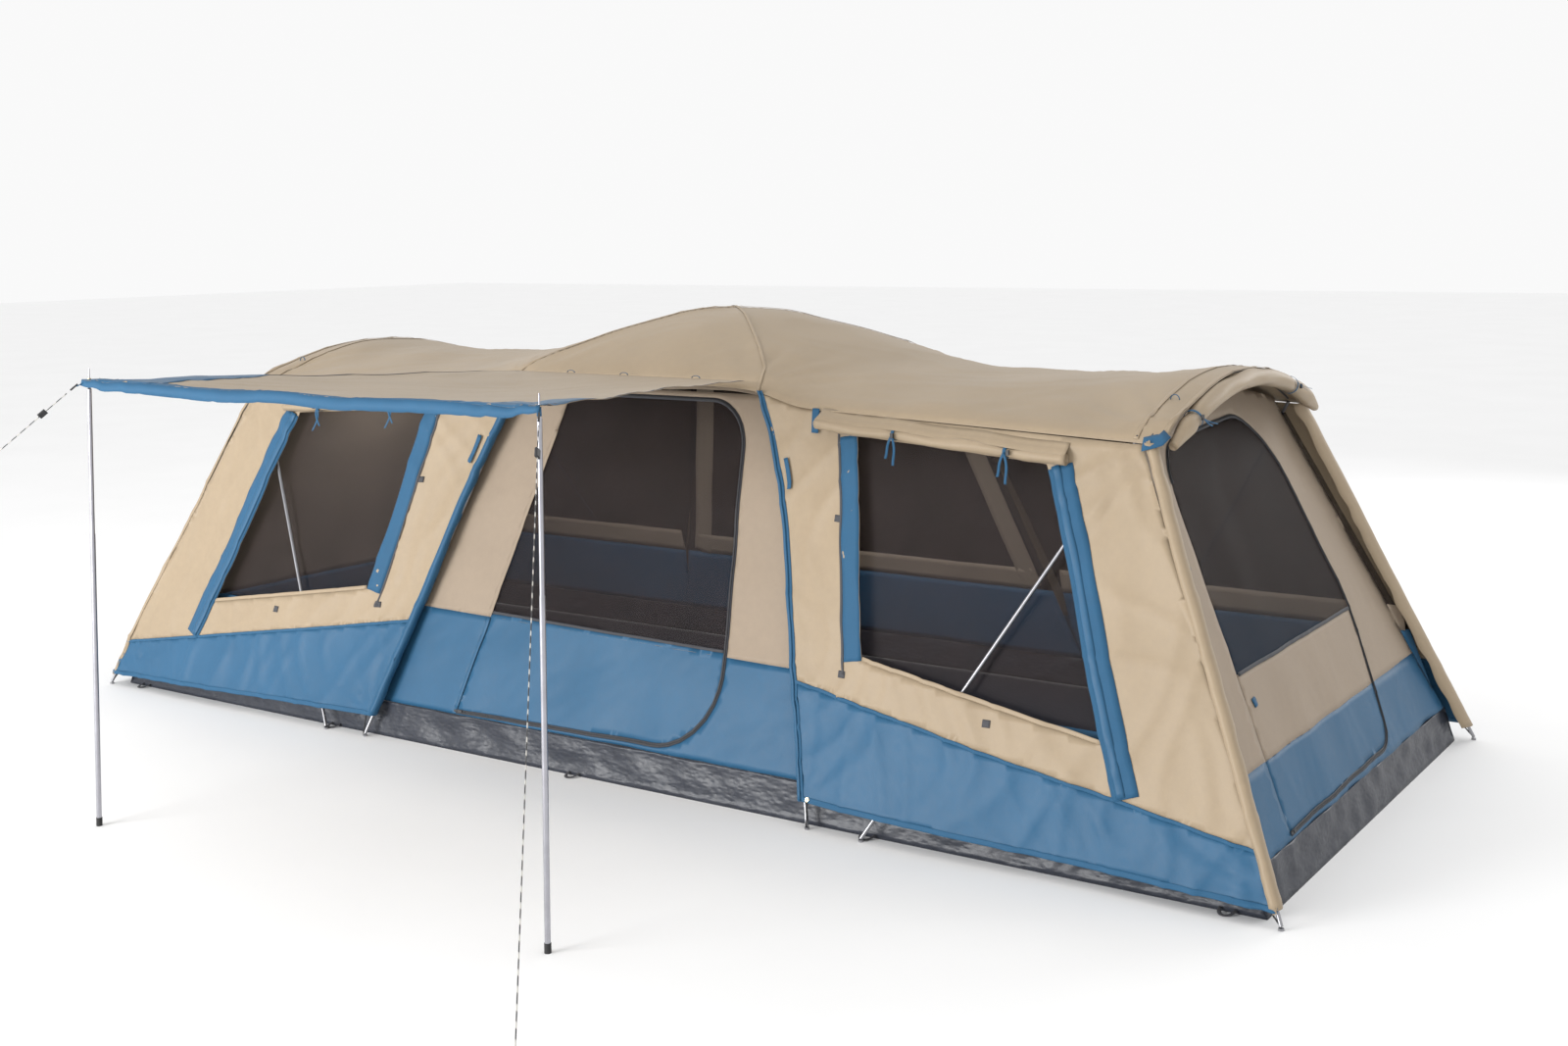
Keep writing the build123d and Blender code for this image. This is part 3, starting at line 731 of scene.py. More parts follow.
def rounded(points, radii, steps=10):
    """An outline with its corners rounded."""
    count = len(points)
    out = []
    for k in range(count):
        p, before, after = (np.array(points[i % count], float) for i in (k, k - 1, k + 1))
        if radii[k] <= 0:
            out.append(p)
            continue
        a, b = before - p, after - p
        a /= np.linalg.norm(a)
        b /= np.linalg.norm(b)
        half = math.acos(np.clip(a @ b, -1, 1)) / 2
        reach = radii[k] / math.tan(half)
        centre = p + (a + b) / np.linalg.norm(a + b) * radii[k] / math.sin(half)
        start, end = p + a * reach - centre, p + b * reach - centre
        for t in np.linspace(0, 1, steps):
            mixed = start * (1 - t) + end * t
            out.append(centre + mixed / np.linalg.norm(mixed) * radii[k])
    return out


def polygon_area(outline, holes=()):
    """The area of an outline less that of its holes."""
    def one(ring):
        ring = np.array(ring)
        x, y = ring[:, 0], ring[:, 1]
        return abs(x @ np.roll(y, -1) - y @ np.roll(x, -1)) / 2
    return one(outline) - sum(one(h) for h in holes)


STEEL_LEGS = ("steel_legs_right", "steel_legs_left")


def declare(obj, outline, held="stretched", rests_on=STEEL_LEGS, holes=(), lean=0.3):
    """Works out a panel's size on the slope from its outline, but keeps nothing and returns the panel as it
    is.
    """
    ring = np.array(outline)
    slope = math.hypot(1.0, lean)
    width, height = round(np.ptp(ring[:, 0]), 3), round(np.ptp(ring[:, 1]) * slope, 3)
    area = min(polygon_area(outline, holes) * slope, width * height)
    return obj


def mirror(points, side):
    return [(side * x, z) for x, z in points]


def sewn(name, outline, skin, material, spacing, *nodes, side=1, holes=(), body="tent", **sheet):
    """A panel which stands for the CAD nodes it is given, and hides them."""
    cuts = [mirror(hole, side) for hole in holes]
    obj = panel(name, mirror(outline, side), skin, material, spacing, cuts, body)
    if nodes:
        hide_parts(*nodes)
    return declare(obj, outline, holes=holes, **sheet)


def twins(name, lines, width, material="blue_tape", shift=0.0, **options):
    """The same tape on the right and the left of the front fly."""
    return [ribbons(f"{name}_{label}", [mirror(line, side) for line in lines], width, FRONT, material,
                    shift=shift * side, **options)
            for label, side in SIDES.items()]


# ---------------------------------------------------------------- guy ropes
CORNER = (1.327, -3.066, 1.935)
PEG = (2.715, -4.784, 0.042)
ROPE_RADIUS = 0.002


def smooth_line(name, route):
    """Points read from a smooth spline through the route's control points."""
    curve = bpy.data.curves.new(name, "CURVE")
    curve.dimensions = "3D"
    curve.resolution_u = 24
    spline = curve.splines.new("NURBS")
    spline.points.add(len(route) - 1)
    for point, place in zip(spline.points, route):
        point.co = (*place, 1)
    spline.order_u = 3
    spline.use_endpoint_u = True
    carrier = bpy.data.objects.new(name, curve)
    bpy.context.scene.collection.objects.link(carrier)
    bpy.context.view_layer.update()
    mesh = bpy.data.meshes.new_from_object(carrier)
    line = [tuple(v.co) for v in mesh.vertices]
    bpy.data.objects.remove(carrier)
    bpy.data.curves.remove(curve)
    bpy.data.meshes.remove(mesh)
    return line


def make_guys():
    for name, side in SIDES.items():
        corner, peg = Vector((side * CORNER[0], *CORNER[1:])), Vector((side * PEG[0], *PEG[1:]))
        along = (peg - corner).normalized()
        start, end = corner + along * 0.060, peg - along * 0.014
        droop = {0.02: 0.0, 0.25: 0.004, 0.5: 0.006, 0.75: 0.004, 0.98: 0.0}
        route = [start] + [start.lerp(end, t) - Vector((0, 0, d)) for t, d in droop.items()] + [end]
        line = smooth_line(f"route_{name}", route)
        steps = resample(line, 0.012, closed=False)
        rope = add_piece(f"guy_rope_{name}_cord", *tube_part(steps, ROPE_RADIUS, 8), "cord", None)
        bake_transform(rope)
        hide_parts(f"guy_rope_{name}", f"guy_head_{name}")


make_guys()


# ---------------------------------------------------------------- front fly walls
FRONT_HEM, BACK_HEM, BACK_SEAM = 0.062, 0.075, 0.400
EAVE_TUCK = SHOULDER + 0.004
FRONT_EAVE_X = (0.775, 0.85, 0.925, 1.0, 1.1, 1.5, 2.0, 2.4, 2.700)
WINDOW = [(window_inner_x(0.710), 0.710), (window_outer_x(0.533), 0.533),
          (window_outer_x(1.580), 1.580), (window_inner_x(1.644), 1.644)]
# The edge of the middle room's opening, from the hem to the roof
EDGE_LINE = [(1.306, 0.112), (1.173, 0.5865), (0.998, 1.200), (0.929, 1.400),
             (0.850, 1.600), (0.800, 1.735), (0.775, 1.820)]


def eave_points(stations):
    return [(x, float(eave_z(x)) - EAVE_TUCK) for x in stations]


def make_front_walls():
    seam_out = outer_seam_z()
    outer_seam = (fly_end_x(seam_out), seam_out)
    outer_hem = (fly_end_x(FRONT_HEM), FRONT_HEM)
    tan = EDGE_LINE[1:-1] + eave_points(FRONT_EAVE_X) + [outer_seam]
    band = [EDGE_LINE[0], outer_hem, outer_seam, EDGE_LINE[1]]
    for name, side in SIDES.items():
        sewn(f"fly_wall_{name}", tan, FRONT, "tan", 0.028, f"fly_inner_panel_{name}",
             f"fly_outer_panel_{name}", f"fly_sill_{name}", side=side, holes=[WINDOW])
        sewn(f"fly_band_{name}_cloth", band, FRONT, "blue", 0.028, f"fly_band_{name}", side=side)
    # Flat-felled seams and hems, each with its fold
    twins("fly_seams", [[EDGE_LINE[1], outer_seam]], 0.014, shift=-0.2)
    twins("fly_hem", [[EDGE_LINE[0], outer_hem]], 0.022, shift=0.45)
    bound = [[outer_hem, (fly_end_x(1.700), 1.700)], WINDOW[:2]]
    twins("fly_binding", bound, 0.018, "tan", shift=0.45)


def make_blue_strips():
    """The wide tapes beside the windows and the thin ones along the middle room's opening."""
    inner = [(window_inner_x(z) - 0.049, z) for z in (0.700, 1.0, 1.3, 1.640)]
    outer = [(window_outer_x(z) + 0.058, z) for z in (0.350, 0.7, 1.1, 1.575)]
    fold = [(x - 0.020, z) for x, z in outer]
    wide = twins("window_tapes", [inner], 0.094, lift=0.0022)
    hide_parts("blue_trim")
    twins("window_flap", [outer], 0.112, lift=0.0030, crown=0.004)
    twins("window_flap_fold", [fold], 0.040, "blue", lift=0.0085, crown=0.004)
    twins("opening_tape", [[(x + 0.012, z) for x, z in EDGE_LINE]], 0.028, lift=0.0022)


def sleeve(name, edge, profile, outward, cover, material="tan"):
    """A cloth sleeve that wraps the pole along a fly edge. profile is (dx, dy) steps from the edge."""
    rows = np.array([p + np.array([dx, dy, 0.0]) for p in edge for dx, dy in profile])
    rows[::len(profile)] = cover + np.array([0.0, 0.008 * np.sign(outward[1]), 0.0])
    uvs = [(a, r) for r in run_length(edge) for a in run_length(profile)]
    pucker = 0.0035 * ripples(rows[:, 2], rows[:, 1] * 0.3, 121, 0.12)
    inner = np.tile(np.linspace(0, 1, len(profile)) ** 2, len(edge))
    rows[:, 0] += np.sign(outward[0]) * pucker * inner
    faces = turn_outward(rows, grid_faces(len(edge), len(profile)), np.array(outward, float))
    return thicken(add_piece(name, rows, faces, uvs, material))


def make_sleeves():
    opening = [(0.012, -0.006), (0.0, -0.007), (-0.010, 0.002), (-0.014, 0.018),
               (-0.012, 0.032), (0.0, 0.046), (0.020, 0.058)]
    corner = [(-0.026, -0.008), (-0.004, -0.009), (0.012, 0.0), (0.016, 0.018),
              (0.012, 0.040), (0.0, 0.066), (-0.018, 0.100)]
    for name, side in SIDES.items():
        line = resample(mirror(EDGE_LINE, side), 0.03, closed=False)
        profile = [(side * dx, dy) for dx, dy in opening]
        cover = FRONT.points(np.asarray(line) + (side * 0.012, 0.0))
        sleeve(f"opening_sleeve_{name}", FRONT.points(line), profile, (-side, -0.3, 0), cover, "blue")
    heights = np.linspace(0.075, 1.690, 70)
    line = np.stack([fly_end_x(heights), heights], axis=1)
    inboard = line - (0.026, 0.0)
    sleeve("end_sleeve_front", FRONT.points(line), corner, (1, -0.2, 0), FRONT.points(inboard))
    behind = [(dx, -dy) for dx, dy in corner]
    sleeve("end_sleeve_back", BACK.points(line), behind, (1, 0.2, 0), BACK.points(inboard))


def make_cover_zips():
    """The window covers' zips run down beside each window, closed flat."""
    line = [(window_inner_x(z) - 0.104, z) for z in (0.640, 1.0, 1.4, 1.660)]
    twins("cover_zip", [line], 0.012, "webbing", lift=0.0032)
    tabs = [(window_inner_x(1.28) - 0.122, 1.28), (window_inner_x(0.635) - 0.112, 0.640), (2.16, 0.545)]
    lines = [[(x - 0.018, z), (x + 0.018, z)] for x, z in tabs]
    twins("cover_tabs", lines, 0.030, "webbing", lift=0.002, spacing=0.012)


make_front_walls()
make_blue_strips()
make_sleeves()
make_cover_zips()


# ---------------------------------------------------------------- rolled covers
ROLL_CORE = 0.0025


def spiral_roll(name, axis, frame_axes, radius, length, seed, ties, taper=0.0):
    """A cloth rolled up on itself along an axis line, squeezed where its ties hold it."""
    turns = length / (math.pi * radius)
    count = int(turns * 22)
    angle = 0.6 + np.linspace(0, 2 * math.pi * turns, count)
    reach = ROLL_CORE + (radius - ROLL_CORE) * np.linspace(0, 1, count)
    arc = np.concatenate([[0], np.cumsum(0.5 * (reach[1:] + reach[:-1]) * np.diff(angle))])
    run = run_length(axis)
    wobble = ripples(run, np.ones_like(run), seed, 0.30)
    verts, uvs = [], []
    for p, s, (a, b), sway in zip(axis, run, frame_axes, wobble):
        tight = 1.0 - 0.22 * sum(math.exp(-(((s - t) / 0.045) ** 2)) for t in ties)
        if taper:
            tight *= min(1.0, 0.45 + 0.55 * min(s, run[-1] - s) / taper)
        lump = 1.0 + 0.05 * np.sin(3 * angle + 9 * s) * np.sin(5.0 * s + seed)
        lump += 0.03 * np.sin(5 * angle - 14 * s)
        wide = np.cos(angle) * reach * tight * (1.0 + 0.07 * sway) * lump
        tall = np.sin(angle) * reach * tight * (1.0 - 0.05 * sway) * lump
        verts.append(p + wide[:, None] * a + tall[:, None] * b)
        uvs.append(np.stack([np.full(count, s), arc], axis=1))
    obj = add_piece(name, np.vstack(verts), grid_faces(len(axis), count), np.vstack(uvs), "tan")
    return thicken(obj, 0.0006), run[-1], arc[-1]


def strip(centres, lengths, along, width):
    """A narrow tape through its centre points, lying across the direction along."""
    verts = [c + along * e * width for c in centres for e in (-0.5, 0.5)]
    uvs = [(e * width, s) for s in lengths for e in (-0.5, 0.5)]
    return np.array(verts), grid_faces(len(lengths), 2), np.array(uvs)


def band_round(centre, a, b, radius, width, along, steps=28):
    """A tie: flat tape wound once round a roll."""
    turns = [2 * math.pi * k / steps for k in range(steps + 1)]
    centres = [centre + radius * (math.cos(t) * a + math.sin(t) * b) for t in turns]
    return strip(centres, [radius * t for t in turns], along, width)


def hanging_tail(top, drop, sway, width, along, curl=0.01, steps=10):
    """The loose end of a tie."""
    shares = [k / steps for k in range(steps + 1)]
    centres = [top + np.array([sway[0] * t * t + curl * math.sin(4 * t), sway[1] * t * t, -drop * t])
               for t in shares]
    return strip(centres, [drop * t for t in shares], along, width)


def make_window_covers():
    for name, side in SIDES.items():
        steps = 64
        t = np.linspace(0, 1, steps)
        x = np.linspace(1.140, 2.385, steps)
        z = np.linspace(1.690, 1.606, steps) - 0.006 * np.sin(math.pi * 3 * t) ** 2
        y = -(fly_y(z) + 0.034)
        axis = np.stack([side * x, y, z], axis=1)
        out, up = np.array([0.0, -1.0, 0.0]), np.array([0.0, 0.0, 1.0])
        axes = [(out, up)] * steps
        ties = (0.42, 0.99)
        label = f"window_cover_{name}"
        roll, width, length = spiral_roll(f"{label}_roll", axis, axes, 0.025, 1.05, 81 + side, ties)
        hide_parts(label)
        along = np.array([side * 1.0, 0.0, -0.067])
        parts = []
        for tie in ties:
            k = int(tie / width * (steps - 1))
            parts.append(band_round(axis[k], out, up, 0.0245, 0.016, along))
            knot = axis[k] + out * 0.027
            parts.append(hanging_tail(knot, 0.13, (side * 0.02, -0.012), 0.012, along))
            parts.append(hanging_tail(knot, 0.10, (-side * 0.03, -0.020), 0.012, along, -0.012))
        joined(f"cover_ties_{name}", parts, "blue_tape")
        # The cover falls from its seam above the window and over the front of its roll
        seam = FRONT.points(np.stack([side * x, z + 0.066], axis=1), 0.002)
        shares = (0, 0.3, 0.6, 1)
        crests = axis + out * 0.014 + up * 0.0215
        rows = np.array([a + (b - a) * f - out * 0.008 * math.sin(math.pi * f)
                         for a, b in zip(seam, crests) for f in shares])
        uvs = [(across, f * 0.06) for across in x for f in shares]
        faces = turn_outward(rows, grid_faces(steps, len(shares)), np.array([0.0, -1.0, 0.3]))
        thicken(add_piece(f"cover_fall_{name}", rows, faces, uvs, "tan"), 0.0008)
    twins("cover_end_tab", [[(1.108, 1.752), (1.108, 1.640)]], 0.040, lift=0.014)


make_window_covers()


# ---------------------------------------------------------------- back and left end
def make_back():
    stations = np.concatenate([np.linspace(2.705, 1.1, 8), [1.0, 0.925, 0.85, 0.775, 0.6, 0.3]])
    eaves = eave_points(stations)
    eaves += [(-x, z) for x, z in reversed(eaves)]
    seam = [(s * fly_end_x(BACK_SEAM), BACK_SEAM) for s in (-1, 1)]
    hem = [(s * fly_end_x(BACK_HEM), BACK_HEM) for s in (-1, 1)]
    sewn("fly_back_wall", seam + eaves, BACK, "tan", 0.035, "fly_back")
    sewn("fly_back_band_cloth", hem + seam[::-1], BACK, "blue", 0.035, "fly_back_band")
    ribbons("back_seam", [seam], 0.014, BACK, "blue_tape")
    ribbons("back_hem", [hem], 0.022, BACK, "blue_tape", shift=0.45)
    # Closed window covers with their zips, and the tapes that frame them
    for name, side in SIDES.items():
        corners = [(window_outer_x(0.56), 0.56), (window_outer_x(1.58), 1.58),
                   (window_inner_x(1.62), 1.62), (window_inner_x(0.62), 0.62)]
        ring = mirror(corners, side)
        ribbons(f"back_window_zip_{name}", [ring[1:] + ring[:1]], 0.016, BACK, "webbing", lift=0.002)
        ribbons(f"back_window_tapes_{name}", [ring[:2], ring[2:]], 0.055, BACK, "blue_tape",
                lift=0.0028, shift=-0.65)
        ribbons(f"back_cover_strip_{name}", [ring[1:3]], 0.060, BACK, "tan", lift=0.006, crown=0.004)
    pole_lines = [[(s * centre_pole_x(z), z) for z in (0.09, 0.6, 1.1, 1.5, 1.80)] for s in (-1, 1)]
    ribbons("back_pole_seams", pole_lines, 0.020, BACK, "tan", lift=0.0032)


def make_left_end():
    front_seam = outer_seam_z()
    seam = [(-fly_y(front_seam), front_seam), (fly_y(BACK_SEAM), BACK_SEAM)]
    hem = [(-fly_y(FRONT_HEM), FRONT_HEM), (fly_y(BACK_HEM), BACK_HEM)]
    rise = float(ridge_z(GABLE_X)) - 0.012 - 1.700
    crown = [(y, 1.700 + rise * (1 - (y / 0.958) ** 2)) for y in np.linspace(0.955, -0.955, 23)]
    sewn("fly_left_end_wall", seam + crown, LEFT_END, "tan", 0.035, "fly_end_left", lean=FLY_END_LEAN)
    sewn("fly_left_end_band", hem + seam[::-1], LEFT_END, "blue", 0.035, lean=FLY_END_LEAN)
    ribbons("left_end_seam", [seam], 0.014, LEFT_END, "blue_tape")
    ribbons("left_end_hem", [hem], 0.022, LEFT_END, "blue_tape", shift=0.45)
    zip_line = [(-0.02, 0.09), (-0.02, 0.8), (-0.02, 1.60)]
    ribbons("left_end_zip", [zip_line], 0.030, LEFT_END, "zip", lift=0.002)
    zip_teeth("left_end_zip_coil", zip_line, LEFT_END, "tent")


make_back()
make_left_end()


# ---------------------------------------------------------------- roof
def make_roof():
    xs, ts = np.linspace(-ROOF_END, ROOF_END, 230), np.linspace(-ROOF_WIDTH, ROOF_WIDTH, 57)
    canopy = even_sheet("fly_canopy", ROOF, xs, ts, "tan")
    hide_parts("fly_roof_centre", "fly_roof_left", "fly_roof_right")
    seams = [[(sx * x, sy * y / fly_y(1.86) * ROOF_WIDTH) for x, y in POLE_PLAN]
             for sx in (-1, 1) for sy in (-1, 1)]
    ribbons("dome_seams", seams, 0.016, ROOF, "tan", lift=0.0032, crown=0.0012)
    inset = ROOF_WIDTH - 0.012
    across = np.linspace(-inset, inset, 30)
    ends = [[(s * x, t) for t in across] for x in (ROOF_END - 0.014, 2.66) for s in (-1, 1)]
    ribbons("roof_end_binding", ends, 0.022, ROOF, "tan", lift=0.0032)


def make_end_roll():
    """The open end's fly panel, rolled up under the roof's edge."""
    steps = 80
    half = fly_y(HUB_Z) - 0.045
    foot_z, crown_z, x_roll = 1.672, 1.880, 2.806
    rise = crown_z - foot_z
    bend = (half ** 2 + rise ** 2) / (2 * rise)
    limit = math.asin(half / bend)
    angle = np.linspace(-limit, limit, steps)
    arc_z = crown_z - bend + bend * np.cos(angle)
    axis = np.stack([np.full(steps, x_roll), bend * np.sin(angle), arc_z], axis=1)
    axes = [(np.array([1.0, 0.0, 0.0]), np.array([0.0, math.sin(a), math.cos(a)])) for a in angle]
    length = 2 * limit * bend
    ties = (length * 0.13, length * 0.79)
    roll, width, arc = spiral_roll("end_cover_rolled", axis, axes, 0.041, 1.75, 91, ties, taper=0.16)
    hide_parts("end_cover_roll")
    parts = []
    for tie in ties:
        k = int(tie / length * (steps - 1))
        out, up = axes[k]
        along = np.cross(out, up)
        parts.append(band_round(axis[k], out, up, 0.0405, 0.014, along))
        knot = axis[k] + out * 0.043 + up * 0.012
        for sway in ((0.05, 0.05), (0.06, -0.04)):
            parts.append(hanging_tail(knot, 0.03, sway, 0.009, along, 0.004))
    joined("end_cover_ties", parts, "blue_tape")


make_roof()
make_end_roll()


# ---------------------------------------------------------------- inner tent
FRONT_DOOR = [(-0.800, 0.185), (0.800, 0.205), (0.620, 1.748), (-0.480, 1.748)]
FRONT_DOOR_RADII = [0.0, 0.330, 0.230, 0.0]
END_DOOR = [(-0.950, 0.190), (0.450, 0.205), (0.690, 0.760), (0.520, 1.700), (-0.660, 1.640)]
END_DOOR_RADII = [0.0, 0.200, 0.500, 0.380, 0.200]
ROOM_TOP = 1.784
INNER_LOW = TUB_TOP + 0.001
ROOM_SEAM, END_SEAM, SILL_Z = 0.560, 0.445, 0.62
MIDDLE_WALL = [(-1.370, INNER_LOW), (1.370, INNER_LOW), (0.940, 1.640), (0.780, ROOM_TOP),
               (-0.780, ROOM_TOP), (-0.940, 1.640)]
END_WALL = [(-1.325, INNER_LOW), (1.325, INNER_LOW), (0.875, 1.720), (0.450, 1.800),
            (-0.450, 1.800), (-0.875, 1.720)]


def crossings(outline, height, slope=0.0):
    """For each side of an outline: its start, whether that is above the line, and where it crosses."""
    points = [np.array(p, float) for p in outline]
    for a, b in zip(points, points[1:] + points[:1]):
        la, lb = (p[1] - height - slope * p[0] for p in (a, b))
        crossing = a + (b - a) * la / (la - lb) if (la >= 0) != (lb >= 0) else None
        yield a, la >= 0, crossing


def split_at(outline, height, keep_above, slope=0.0):
    """The part of an outline above or below a line."""
    out = []
    for start, above, crossing in crossings(outline, height, slope):
        if above == keep_above:
            out.append(start)
        if crossing is not None:
            out.append(crossing)
    return out


def grown(outline, gap):
    middle = np.mean(outline, axis=0)
    out = []
    for p in outline:
        d = np.array(p) - middle
        out.append(tuple(middle + d * (1 + gap / np.linalg.norm(d))))
    return out


def two_tone_wall(name, wall, skin, seam, spacing=0.04, upper="inner", lean=0.3, slope=0.0,
                  hole=None):
    """An inner wall that is blue below its seam. Returns its upper panel."""
    made = []
    for part, above, material in (("upper", True, upper), ("lower", False, "blue")):
        ring = split_at(wall, seam, above, slope)
        cuts = [split_at(hole, seam, above, slope)] if hole else []
        holes = [cut_inside(c, ring) for c in cuts]
        piece = panel(f"{name}_{part}", ring, skin, material, spacing, holes)
        made.append(declare(piece, ring, "hung", holes=cuts, lean=lean))
    return made[0]


def walls_with_door(name, wall, door, skin, seam, leaf, node_wall, node_door, mesh_bottom, lean,
                    slope=0.0):
    """A two-tone wall with a mesh door that has its own leaf of cloth."""
    upper = two_tone_wall(name, wall, skin, seam, 0.03, "inner", lean, slope, grown(door, 0.004))
    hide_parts(node_wall)
    rest = split_at(door, mesh_bottom, False, slope)
    parts = [("mesh", split_at(door, mesh_bottom, True, slope), "mesh")]
    if mesh_bottom - seam > 0.1:
        parts.append(("cloth", split_at(rest, seam, True, slope), "inner"))
        rest = split_at(rest, seam, False, slope)
    parts.append(("skirt", rest, "blue"))
    for part, ring, material in parts:
        nodes = [node_door] if part == "mesh" else []
        sewn(f"{name}_door_{part}", ring, skin, material, 0.03, *nodes, body=leaf, lean=lean)
    sides = sorted(c[0] for _, _, c in crossings(door, mesh_bottom, slope) if c is not None)
    line = [(x, mesh_bottom + slope * x) for x in (sides[0] + 0.006, sides[-1] - 0.006)]
    ribbons(f"{name}_mesh_binding", [line], 0.014, skin, "zip", body=leaf, lift=0.0032)


def door_zip(name, door, skin, leaf, width):
    """A zip round a door's free sides, which start at its lowest corner on the hinge side."""
    start = min(range(len(door)), key=lambda k: sum(door[k]))
    ring = door[start:] + door[:start]
    ribbons(f"{name}_zip_tape", [ring], width, skin, "zip", body=leaf, lift=0.0025, crown=0.0015)
    zip_teeth(f"{name}_zip_coil", ring, skin, leaf, lift=0.0060)


def cut_inside(cut, outline):
    """Pulls a hole's points a hair inside its panel, so that the two rings don't touch."""
    middle = np.mean(outline, axis=0)
    return [tuple(middle + (np.array(p) - middle) * 0.9995) for p in cut]


def make_front_room():
    door = rounded(FRONT_DOOR, FRONT_DOOR_RADII)
    walls_with_door("middle_front", MIDDLE_WALL, door, CENTRE_FRONT, 0.628, "front_door_leaf",
                    "inner_front_centre", "front_door", 0.650, CENTRE_LEAN, -0.015)
    door_zip("front", door, CENTRE_FRONT, "front_door_leaf", 0.020)
    seam_x, slope = -0.806, 0.2047
    for part, low, high, material in (("lower", 0.20, 0.635, "blue"), ("upper", 0.65, 1.560, "inner")):
        line = [(seam_x + slope * (z - door[0][1]), z) for z in np.linspace(low, high, 12)]
        ribbons(f"front_hinge_seam_{part}", [line], 0.020, CENTRE_FRONT, material, lift=0.0050)


def make_end_room():
    door = rounded(END_DOOR, END_DOOR_RADII)
    walls_with_door("right_end", END_WALL, door, END_RIGHT, END_SEAM, "end_door_leaf",
                    "inner_end_right", "end_door", 0.758, END_LEAN)
    door_zip("end", door, END_RIGHT, "end_door_leaf", 0.017)


def make_rooms():
    upper = [(1.30, ROOM_SEAM), (3.170, ROOM_SEAM), (2.660, 1.640), (0.92, 1.640)]
    lower = [(1.34, INNER_LOW), (3.285, INNER_LOW), (3.170, ROOM_SEAM), (1.30, ROOM_SEAM)]
    for name, side in SIDES.items():
        hung = {"side": side, "held": "hung"}
        back = ["inner_back"] if side == 1 else []
        sewn(f"room_front_mesh_{name}", upper, ROOM_FRONT, "mesh", 0.03, f"inner_front_{name}", **hung)
        sewn(f"room_front_skirt_{name}", lower, ROOM_FRONT, "blue", 0.035, **hung)
        sewn(f"room_back_upper_{name}", upper, ROOM_BACK, "mesh", 0.04, *back, **hung)
        sewn(f"room_back_lower_{name}", lower, ROOM_BACK, "blue", 0.04, **hung)
        sill = mirror([(1.30, SILL_Z), (3.15, SILL_Z)], side)
        ribbons(f"room_back_sill_{name}", [sill], 0.13, ROOM_BACK, "inner", lift=-0.004, crown=0.0)
    two_tone_wall("middle_back", MIDDLE_WALL, CENTRE_BACK, ROOM_SEAM, upper="mesh")
    stiles = [[(s * (centre_pole_x(z) - 0.040), z) for z in (0.57, 1.0, 1.4, 1.68)] for s in (-1, 1)]
    stiles.append([(-1.15, SILL_Z), (1.15, SILL_Z)])
    ribbons("middle_back_stiles", stiles, 0.12, CENTRE_BACK, "inner", lift=-0.004, crown=0.0)
    left_end = two_tone_wall("left_end", END_WALL, END_LEFT, END_SEAM, lean=END_LEAN)
    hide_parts("inner_end_left")
    make_inner_roof()


def inner_roof(x, t):
    side = t / ROOF_WIDTH
    eave = eave_z(x)
    z = eave + (ridge_z(x) - eave) * (1.0 - side * side) - 0.060
    z = z + 0.005 * ripples(x, t, 95, 0.4)
    return np.stack([x, side * (fly_y(eave) - 0.110), z], axis=1)


def make_inner_roof():
    xs, ts = np.linspace(-2.560, 2.560, 130), np.linspace(-ROOF_WIDTH, ROOF_WIDTH, 33)
    ceiling = even_sheet("room_ceiling", Skin(inner_roof, (0, 0, 1)), xs, ts, "inner")
    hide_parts("inner_roof")


make_front_room()
make_end_room()
make_rooms()


# ---------------------------------------------------------------- tub floor
TUB_LEAN_LONG, TUB_LEAN_END = 0.027, 0.042


def tub_side(face, along_x):
    """A glossy tub wall, crinkled, that leans in a little as it rises."""
    reach, lean = (FLOOR_Y, TUB_LEAN_LONG) if along_x else (FLOOR_X, TUB_LEAN_END)

    def place(u, z):
        inward = lean * (z - FLOOR_TOP) / (TUB_TOP - FLOOR_TOP)
        out = 0.004 * creases(u, z, 101 + face, 0.09, 0.2, 3.0)
        out = out + 0.0035 * ripples(u, z, 103 + face, 0.16) - 0.006
        out = out * np.clip((z - FLOOR_TOP) / 0.02, 0, 1) * np.clip((TUB_TOP + 0.006 - z) / 0.02, 0, 1)
        away = face * (reach - inward + out)
        return np.stack([u, away, z] if along_x else [away, u, z], axis=1)
    return Skin(place, (0, face, 0) if along_x else (face, 0, 0))


def ground(x, y):
    edge = np.minimum(np.minimum(FLOOR_X - np.abs(x), FLOOR_Y - np.abs(y)) / 0.08, 1)
    return np.stack([x, y, 0.0015 + 0.003 * creases(x, y, 111, 0.25, 0.7) * edge], axis=1)


def make_tub():
    for along_x, reach, taper, label in ((True, FLOOR_X, TUB_LEAN_END, "long"),
                                         (False, FLOOR_Y, TUB_LEAN_LONG, "end")):
        ring = [(-reach, FLOOR_TOP), (reach, FLOOR_TOP), (reach - taper, TUB_TOP), (taper - reach, TUB_TOP)]
        for face, side in ((-1, "front_or_left"), (1, "back_or_right")):
            nodes = ["tub_walls"] if along_x and face < 0 else []
            skin = tub_side(face, along_x)
            sewn(f"tub_{label}_{side}", ring, skin, "tub", 0.018, *nodes, lean=0.1)
    ring = [(-FLOOR_X, -FLOOR_Y), (FLOOR_X, -FLOOR_Y), (FLOOR_X, FLOOR_Y), (-FLOOR_X, FLOOR_Y)]
    sewn("tub_ground_sheet", ring, Skin(ground, (0, 0, 1)), "tub", 0.06, "tub_floor",
         held="laid", rests_on=(), lean=0.0)


make_tub()


